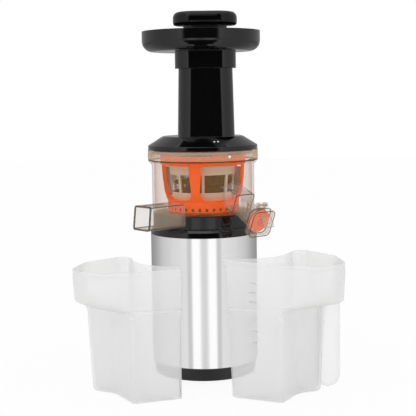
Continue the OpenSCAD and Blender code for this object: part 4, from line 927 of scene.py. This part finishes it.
def jug_lower(jug, grow):
    """Outline below the step, with its waist a third of the way out to the heel."""
    heel, front, tip = jug["heel"], jug["front"], jug["tip"]
    back = HEEL_BACK - grow
    return nest_wall(grow, HEEL_TURN) + open_corners([
        (back, 0, 0), (back, heel[1] - HEEL_DROP - grow, HEEL_CORNERS[0]),
        (heel[0] + grow, heel[1] - grow, HEEL_CORNERS[1]),
        (heel[0] - JUG_WAIST + grow, heel[1] / 3, HEEL_CORNERS[2]),
        (front[0] + grow, front[1] + grow, HEEL_CORNERS[3]),
        (tip[0] - grow, tip[1] + grow, HEEL_CORNERS[4]), (LOBE[0] - grow, LOBE[1], 0)])


def ring_at(points, height, rise=0, lip=0):
    """The outline with its heights: rise lifts the far end and lip the pour tip."""
    levels = []
    for x, y in points:
        far = min(1, max(0, (x - y / 2 - JUG_NEAR) / JUG_RUN))
        near_tip = max(0, 1 - math.hypot(x - LIP_CENTRE[0], y - LIP_CENTRE[1]) / LIP_REACH)
        levels.append(height + rise * far + lip * near_tip ** 2)
    return points, levels


def jug_rings(jug):
    """Rings of a jug wall, up the outside and down the inside."""
    height, lip, flare = jug["height"], jug["lip"], jug["flare"]
    low, high = -JUG_DRAFT, -JUG_BEAD
    ledge = high - JUG_BEAD
    inner = high - JUG_WALL
    rings = [ring_at(jug_lower(jug, low - drawn), z) for drawn, z in FOOT_RINGS]
    rings += [ring_at(jug_lower(jug, high + out), JUG_STEP + z, sloped * JUG_RISE)
              for out, z, sloped in BEAD_RINGS]
    rings += [ring_at(jug_upper(jug, high + out, 0, OVERHANG_DRAFT), JUG_STEP + z,
                      sloped * JUG_RISE) for out, z, sloped in OVERHANG_RINGS]
    rings.append(ring_at(jug_upper(jug, 0), height - LIP_DROP))
    rings += [ring_at(jug_upper(jug, out, flare * share), height - drop, 0, lip)
              for out, share, drop in RIM_RINGS]
    rings += [
        ring_at(jug_upper(jug, -JUG_WALL), height - LIP_DROP),
        ring_at(jug_upper(jug, inner, 0, OVERHANG_DRAFT), JUG_STEP + JUG_WALL, JUG_RISE),
        ring_at(jug_lower(jug, inner), JUG_STEP - STEP_LOW + JUG_WALL, JUG_RISE),
        ring_at(jug_lower(jug, ledge - JUG_WALL), JUG_STEP - LEDGE_LOW),
        ring_at(jug_lower(jug, low - JUG_WALL), JUG_FLOOR + FLOOR_ROUND),
        ring_at(jug_lower(jug, low - JUG_WALL - FLOOR_ROUND_IN), JUG_FLOOR)]
    return rings


def make_jug(name, body, turn, place, jug, mirrored):
    """Frosted jug, left out of mirror reflections because the steel shell shows none of it."""
    bm = bmesh.new()
    skin(bm, jug_rings(jug))
    if mirrored:
        add_grip(bm, jug)
        add_ticks(bm, jug)
        move_all(bm, Matrix.Scale(-1, 4, (0, 1, 0)))
    move_all(bm, spout_frame(turn) @ Matrix.Translation(point(*place, 0)))
    made = piece(name + "_wall", bm, body, FROST, [name])
    made.visible_glossy = False


def add_grip(bm, jug):
    """Flat grip under the overhang, with a round foot and soft edges."""
    outline = round_box(GRIP_W, GRIP_TOP - GRIP_LOW, GRIP_CORNER)
    made = bmesh.new()
    rings = [(inset(outline, drawn), z) for drawn, z in GRIP_EDGE]
    rings += [(inset(outline, drawn), GRIP_T - z) for drawn, z in reversed(GRIP_EDGE)]
    skin(made, rings)
    stand = Matrix(((0, 0, 1, 0), (1, 0, 0, 0), (0, 1, 0, 0), (0, 0, 0, 1)))
    place = point(jug["heel"][0] - GRIP_SUNK, GRIP_Y, (GRIP_LOW + GRIP_TOP) / 2)
    move_all(made, Matrix.Translation(place) @ stand)
    join(bm, made)


def join(bm, other):
    """Adds the other mesh to bm."""
    mesh = bpy.data.meshes.new("joined")
    other.to_mesh(mesh)
    other.free()
    bm.from_mesh(mesh)
    bpy.data.meshes.remove(mesh)


def add_ticks(bm, jug):
    """Raised measuring ticks on the face beside the pour tip."""
    for i, height in enumerate(TICK_HEIGHTS):
        outline = jug_upper(jug, 0) if height > JUG_STEP else jug_lower(jug, -TICK_DRAFT)
        face = [pair for pair in zip(outline, outline[1:])
                if pair[0][0] >= TICK_AT >= pair[1][0] and pair[0][1] > TICK_FACE_Y]
        first, last = min(face, key=lambda pair: pair[1][1])
        along = Vector(last) - Vector(first)
        share = (TICK_AT - first[0]) / along.x
        x, y = first[0] + along.x * share, first[1] + along.y * share
        made = bmesh.ops.create_cube(bm, size=1)["verts"]
        turn = Matrix.Rotation(math.atan2(along.y, along.x), 4, "Z")
        size = Matrix.Diagonal((TICK_LENGTHS[i % 2] * MM, TICK_DEPTH * MM, TICK_H * MM, 1))
        move_all(bm, Matrix.Translation(point(x, y, height)) @ turn @ size, made)


# Lid with its feed tube


def tube_ring(height, grow=0):
    less = TUBE_TAPER / (TUBE_TOP - LID_TOP) * (height - LID_TOP) - 2 * grow
    return round_box(TUBE_SIZE[0] - less, TUBE_SIZE[1] - less, TUBE_CORNER + grow, TUBE_PLACE,
                     SOFT_STEPS)


def make_lid():
    cone_z = LID_EDGE + LID_EDGE_H
    rings = [(circle(SKIRT_R), SKIRT_Z), (circle(SKIRT_R), LID_EDGE)]
    rings += [(circle(LID_R - drawn), LID_EDGE + z) for drawn, z in EDGE_FOOT]
    rings += [(circle(LID_R - drawn), cone_z + z) for drawn, z in EDGE_HEAD]
    rings += [(circle(LID_TOP_R - drawn), LID_TOP + z) for drawn, z in CREST]
    rings += [(tube_ring(LID_TOP, out), LID_TOP + z) for out, z in TUBE_FOOT]
    rings += [(tube_ring(TUBE_TOP, out), TUBE_TOP + z) for out, z in TUBE_MOUTH]
    rings += [(tube_ring(LID_TOP, -TUBE_WALL), LID_TOP - LID_WALL),
              (circle(LID_TOP_R - CREST_IN), LID_TOP - LID_WALL),
              (circle(SKIRT_R - LID_WALL), LID_EDGE + LID_WALL),
              (circle(SKIRT_R - LID_WALL), SKIRT_Z)]
    bm = bmesh.new()
    skin(bm, rings, closed=True)
    boss_top = LID_TOP - BOSS_SUNK
    revolve(bm, solid_of([(BUSH_R, BOSS_LOW), (BOSS_R, BOSS_LOW), (BOSS_R, boss_top),
                          (0, boss_top), (0, BOSS_ROOF), (BUSH_R, BOSS_ROOF)]),
            steps=BOSS_STEPS)
    lug_in = SKIRT_R - LUG_SUNK
    lug_top = SKIRT_Z + LUG_H
    for i in range(LUG_COUNT):
        revolve(bm, [(lug_in, SKIRT_Z), (LUG_R, SKIRT_Z), (LUG_R, lug_top), (lug_in, lug_top)],
                degrees=LUG_TURN, start=LUG_START + 360 / LUG_COUNT * i, steps=LUG_STEPS)
    piece("lid_moulding", bm, "lid_set", BLACK_GLOSS, ["lid"])


# Pusher cap


def make_pusher_cap():
    """Oval cap with a soft foot and a flat crown, in line with the feed tube."""
    steps = [(drawn, CAP_LOW + z) for drawn, z in CAP_FOOT]
    steps += [(drawn, CAP_TOP + z) for drawn, z in CAP_CROWN]
    rings = [(round_box(CAP_SIZE[0] - 2 * drawn, CAP_SIZE[1] - 2 * drawn, CAP_CORNER - drawn,
                        TUBE_PLACE, SOFT_STEPS), z) for drawn, z in steps]
    bm = bmesh.new()
    skin(bm, rings)
    piece("pusher_cap_shell", bm, "pusher", BLACK_CAP, ["pusher_cap"])


# Strainer sheet with its holes


def make_strainer_sheet():
    """Cone of thin sheet with a hole in each of its faces."""
    low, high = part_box("strainer_mesh")
    bottom, top = low.z / MM, high.z / MM
    profile = [(SHEET_LOW_R + (SHEET_HIGH_R - SHEET_LOW_R) * i / SHEET_ROWS,
                bottom + (top - bottom) * i / SHEET_ROWS) for i in range(SHEET_ROWS + 1)]
    bm = bmesh.new()
    revolve(bm, profile, steps=SHEET_COLUMNS)
    bmesh.ops.remove_doubles(bm, verts=bm.verts, dist=MERGE_GAP)
    holes = bmesh.ops.inset_individual(bm, faces=bm.faces[:], thickness=SHEET_BAR * MM)
    inner = [f for f in bm.faces if f not in set(holes["faces"])]
    bmesh.ops.delete(bm, geom=inner, context="FACES_ONLY")
    piece("strainer_holes", bm, "bowl_set", MESH, ["strainer_mesh"])


# Painted shade: dark lines where the clear mouldings are thick and refraction shows them dark:
# corners, mouths and the rim step


def add_band(bm, outline, width, depth, place):
    """Flat ring inside an outline of (side, up) points, made depth thick and put in place."""
    made = bmesh.new()
    face = made.faces.new([made.verts.new(point(0, y, z)) for y, z in outline])
    face.normal_update()
    ring = bmesh.ops.inset_individual(made, faces=[face], thickness=width * MM)["faces"]
    bmesh.ops.delete(made, geom=[face], context="FACES_ONLY")
    grown = bmesh.ops.extrude_face_region(made, geom=ring)["geom"]
    verts = [item for item in grown if isinstance(item, bmesh.types.BMVert)]
    bmesh.ops.translate(made, verts=verts, vec=point(-depth, 0, 0))
    move_all(made, place)
    join(bm, made)


def add_rod(bm, first, last, r):
    """Thin round line between two places."""
    made = bmesh.ops.create_cone(bm, cap_ends=True, segments=LINE_STEPS, radius1=r * MM,
                                 radius2=r * MM, depth=(last - first).length)["verts"]
    turn = Vector((0, 0, 1)).rotation_difference(last - first).to_matrix().to_4x4()
    move_all(bm, Matrix.Translation((first + last) / 2) @ turn, made)


def add_corner_rods(bm, size, middle, depth, starts, end):
    """Lines along the four corners of a square spout, from starts(side) to its end."""
    for side in (-1, 1):
        for level in (-1, 1):
            y = middle[0] + side * (size[0] / 2 - depth)
            z = middle[1] + level * (size[1] / 2 - depth)
            add_rod(bm, point(starts(y), y, z), end @ point(-1, y, z), LINE_W)


def make_pulp_lines():
    """Painted shade as dark lines on the mouth and corners of the square pulp spout."""
    w, h = PULP_SIZE
    middle = (PULP_SIDE, PULP_TOP - h / 2)
    lean = Matrix.Identity(4)
    lean[0][2] = -PULP_LEAN / h
    end = Matrix.Translation(point(PULP_REACH + PULP_LEAN * PULP_TOP / h, 0, 0)) @ lean
    bm = bmesh.new()
    add_band(bm, round_box(w, h, PULP_CORNER, middle), PULP_LIP, 2 * LINE_W, end)
    add_corner_rods(bm, PULP_SIZE, middle, LINE_CORNER_SHARE * PULP_CORNER + LINE_W,
                    lambda y: math.sqrt(BOWL_R ** 2 - y ** 2) + LINE_GAP, end)
    move_all(bm, spout_frame(PULP_TURN))
    piece("pulp_chute_shade_lines", bm, "bowl_set", SMOKE_SHADE_LINE)


def juice_frame():
    return (spout_frame(JUICE_TURN) @ Matrix.Translation(point(JUICE_START, JUICE_SIDE, JUICE_Z))
            @ Matrix.Rotation(math.radians(JUICE_SLOPE), 4, "Y"))


def make_juice_lines():
    """Painted shade as dark lines on the front edge, corners and round flange of the juice
    spout.
    """
    w, h = BLOCK_SIZE
    end = Matrix.Identity(4)
    middle = (0, BLOCK_LIFT)
    bm = bmesh.new()
    add_band(bm, round_box(w, h, PULP_CORNER, middle), LINE_BAND, LINE_W, end)
    add_corner_rods(bm, BLOCK_SIZE, middle, LINE_CORNER_SHARE * PULP_CORNER + LINE_W,
                    lambda y: BLOCK_LINE_START, end)
    add_band(bm, bead(FLANGE_R, FLANGE_STEPS), LINE_W, LINE_W,
             Matrix.Translation(point(JUICE_LEN, 0, 0)))
    move_all(bm, juice_frame())
    piece("juice_chute_shade_lines", bm, "bowl_set", AMBER_SHADE_LINE)


def make_cover_lines():
    """Painted shade as dark lines on the outer and inner edge of the spout cover."""
    outline = round_box(COVER_W, COVER_RISE + COVER_DROP, COVER_CORNER,
                        (0, (COVER_RISE - COVER_DROP) / 2))
    bm = bmesh.new()
    for along in (JUICE_LEN + COVER_DEPTH, JUICE_LEN + COVER_START + LINE_W):
        add_band(bm, outline, LINE_BAND, LINE_W, Matrix.Translation(point(along, 0, 0)))
    move_all(bm, juice_frame())
    piece("cap_cover_shade_lines", bm, "juice_cap", AMBER_SHADE_LINE)


def make_cap_plug():
    """Soft plug with a flat face, the round seal behind it and its collar."""
    lie = juice_frame() @ Matrix.Rotation(math.radians(90), 4, "Y")
    start = JUICE_LEN + PLUG_GAP
    profile = [(r, start + along) for r, along in PLUG_NECK]
    profile += [(PLUG_R - drawn, start + along) for drawn, along in PLUG_EDGE]
    profile += [(r, start + along) for r, along in PLUG_RECESS]
    bm = bmesh.new()
    revolve(bm, solid_of(profile), steps=SMALL_STEPS)
    move_all(bm, lie)
    piece("cap_plug_moulding", bm, "juice_cap", ORANGE_SOFT, ["cap_plug"])
    bm = bmesh.new()
    revolve(bm, solid_of([(PLUG_R - GASKET_IN + x, start + GASKET_AT + y)
                          for x, y in bead(GASKET_R)]), steps=SMALL_STEPS)
    move_all(bm, lie)
    piece("cap_gasket_ring", bm, "juice_cap", RUBBER, ["cap_gasket"])


def make_notch_shade_plates():
    """Dark plates of painted shade set into the notches of the lower brush ring."""
    bm = bmesh.new()
    for i in range(NOTCHES):
        made = bmesh.ops.create_cube(bm, size=1)["verts"]
        turn = Matrix.Rotation(TAU * (i + 0.5) / NOTCHES, 4, "Z")
        size = Matrix.Diagonal((NOTCH_SHADE_T * MM, NOTCH_SIZE[0] * MM, NOTCH_SIZE[1] * MM, 1))
        place = Matrix.Translation(point(BRUSH_RING_R - NOTCH_SHADE_IN, 0, NOTCH_Z))
        move_all(bm, turn @ place @ size, made)
    piece("brush_notch_shade_plates", bm, "brush", GRAPHITE)


def make_rim_lines():
    """Hazy band of the rim, and under it a dark line at the step that is painted shade."""
    inner, outer = RIM_R - HAZE_INNER, RIM_R - HAZE_OUTER
    foot, head = NECK_Z + HAZE_LIFT, RIM_Z - HAZE_DROP
    bm = bmesh.new()
    revolve(bm, solid_of([(inner, foot), (outer, foot), (outer, head), (inner, head)]))
    piece("bowl_rim_haze", bm, "bowl_set", RIM_HAZE)
    bm = bmesh.new()
    revolve(bm, solid_of([(RIM_R - drawn, NECK_Z + z) for drawn, z in STEP_SHADE_LINE]))
    piece("bowl_step_shade_line", bm, "bowl_set", SMOKE_SHADE_LINE)


# Small trim


def make_shell_beads():
    """Rolled bright edges at the top and the bottom of the steel shell."""
    for label, height in SHELL_BEADS.items():
        bm = bmesh.new()
        revolve(bm, solid_of([(SHELL_BEAD_R + x, height + y) for x, y in bead(BEAD_R)]))
        piece("shell_bead_" + label, bm, "base", STEEL_EDGE)


def make_lid_mark():
    """Short printed line that follows the turn of the lid, on its slope."""
    slope = (LID_TOP - LID_EDGE - LID_EDGE_H) / (LID_R - CREST_IN - LID_TOP_R)
    middle_z = LID_TOP - (MARK_R - LID_TOP_R) * slope
    outer = (MARK_R + MARK_OUT, middle_z - MARK_OUT * slope)
    inner = (MARK_R - MARK_IN, middle_z + MARK_IN * slope)
    line = [outer, (outer[0], outer[1] + MARK_T), (inner[0], inner[1] + MARK_T), inner]
    bm = bmesh.new()
    revolve(bm, line, degrees=MARK_TURN, start=MARK_START, steps=MARK_STEPS)
    piece("lid_turn_mark", bm, "lid_set", WHITE_MARK)


make_camera()
make_world()
make_floor()
make_lamp()
dress_solids()
make_jug("pulp_jug", "pulp_container", PULP_TURN, PULP_JUG_PLACE, PULP_JUG, False)
make_jug("juice_jug", "juice_container", JUICE_TURN, JUICE_JUG_PLACE, JUICE_JUG, True)
make_lid()
make_pusher_cap()
make_strainer_sheet()
make_shell_beads()
make_lid_mark()
make_pulp_lines()
make_juice_lines()
make_cover_lines()
make_cap_plug()
make_notch_shade_plates()
make_rim_lines()
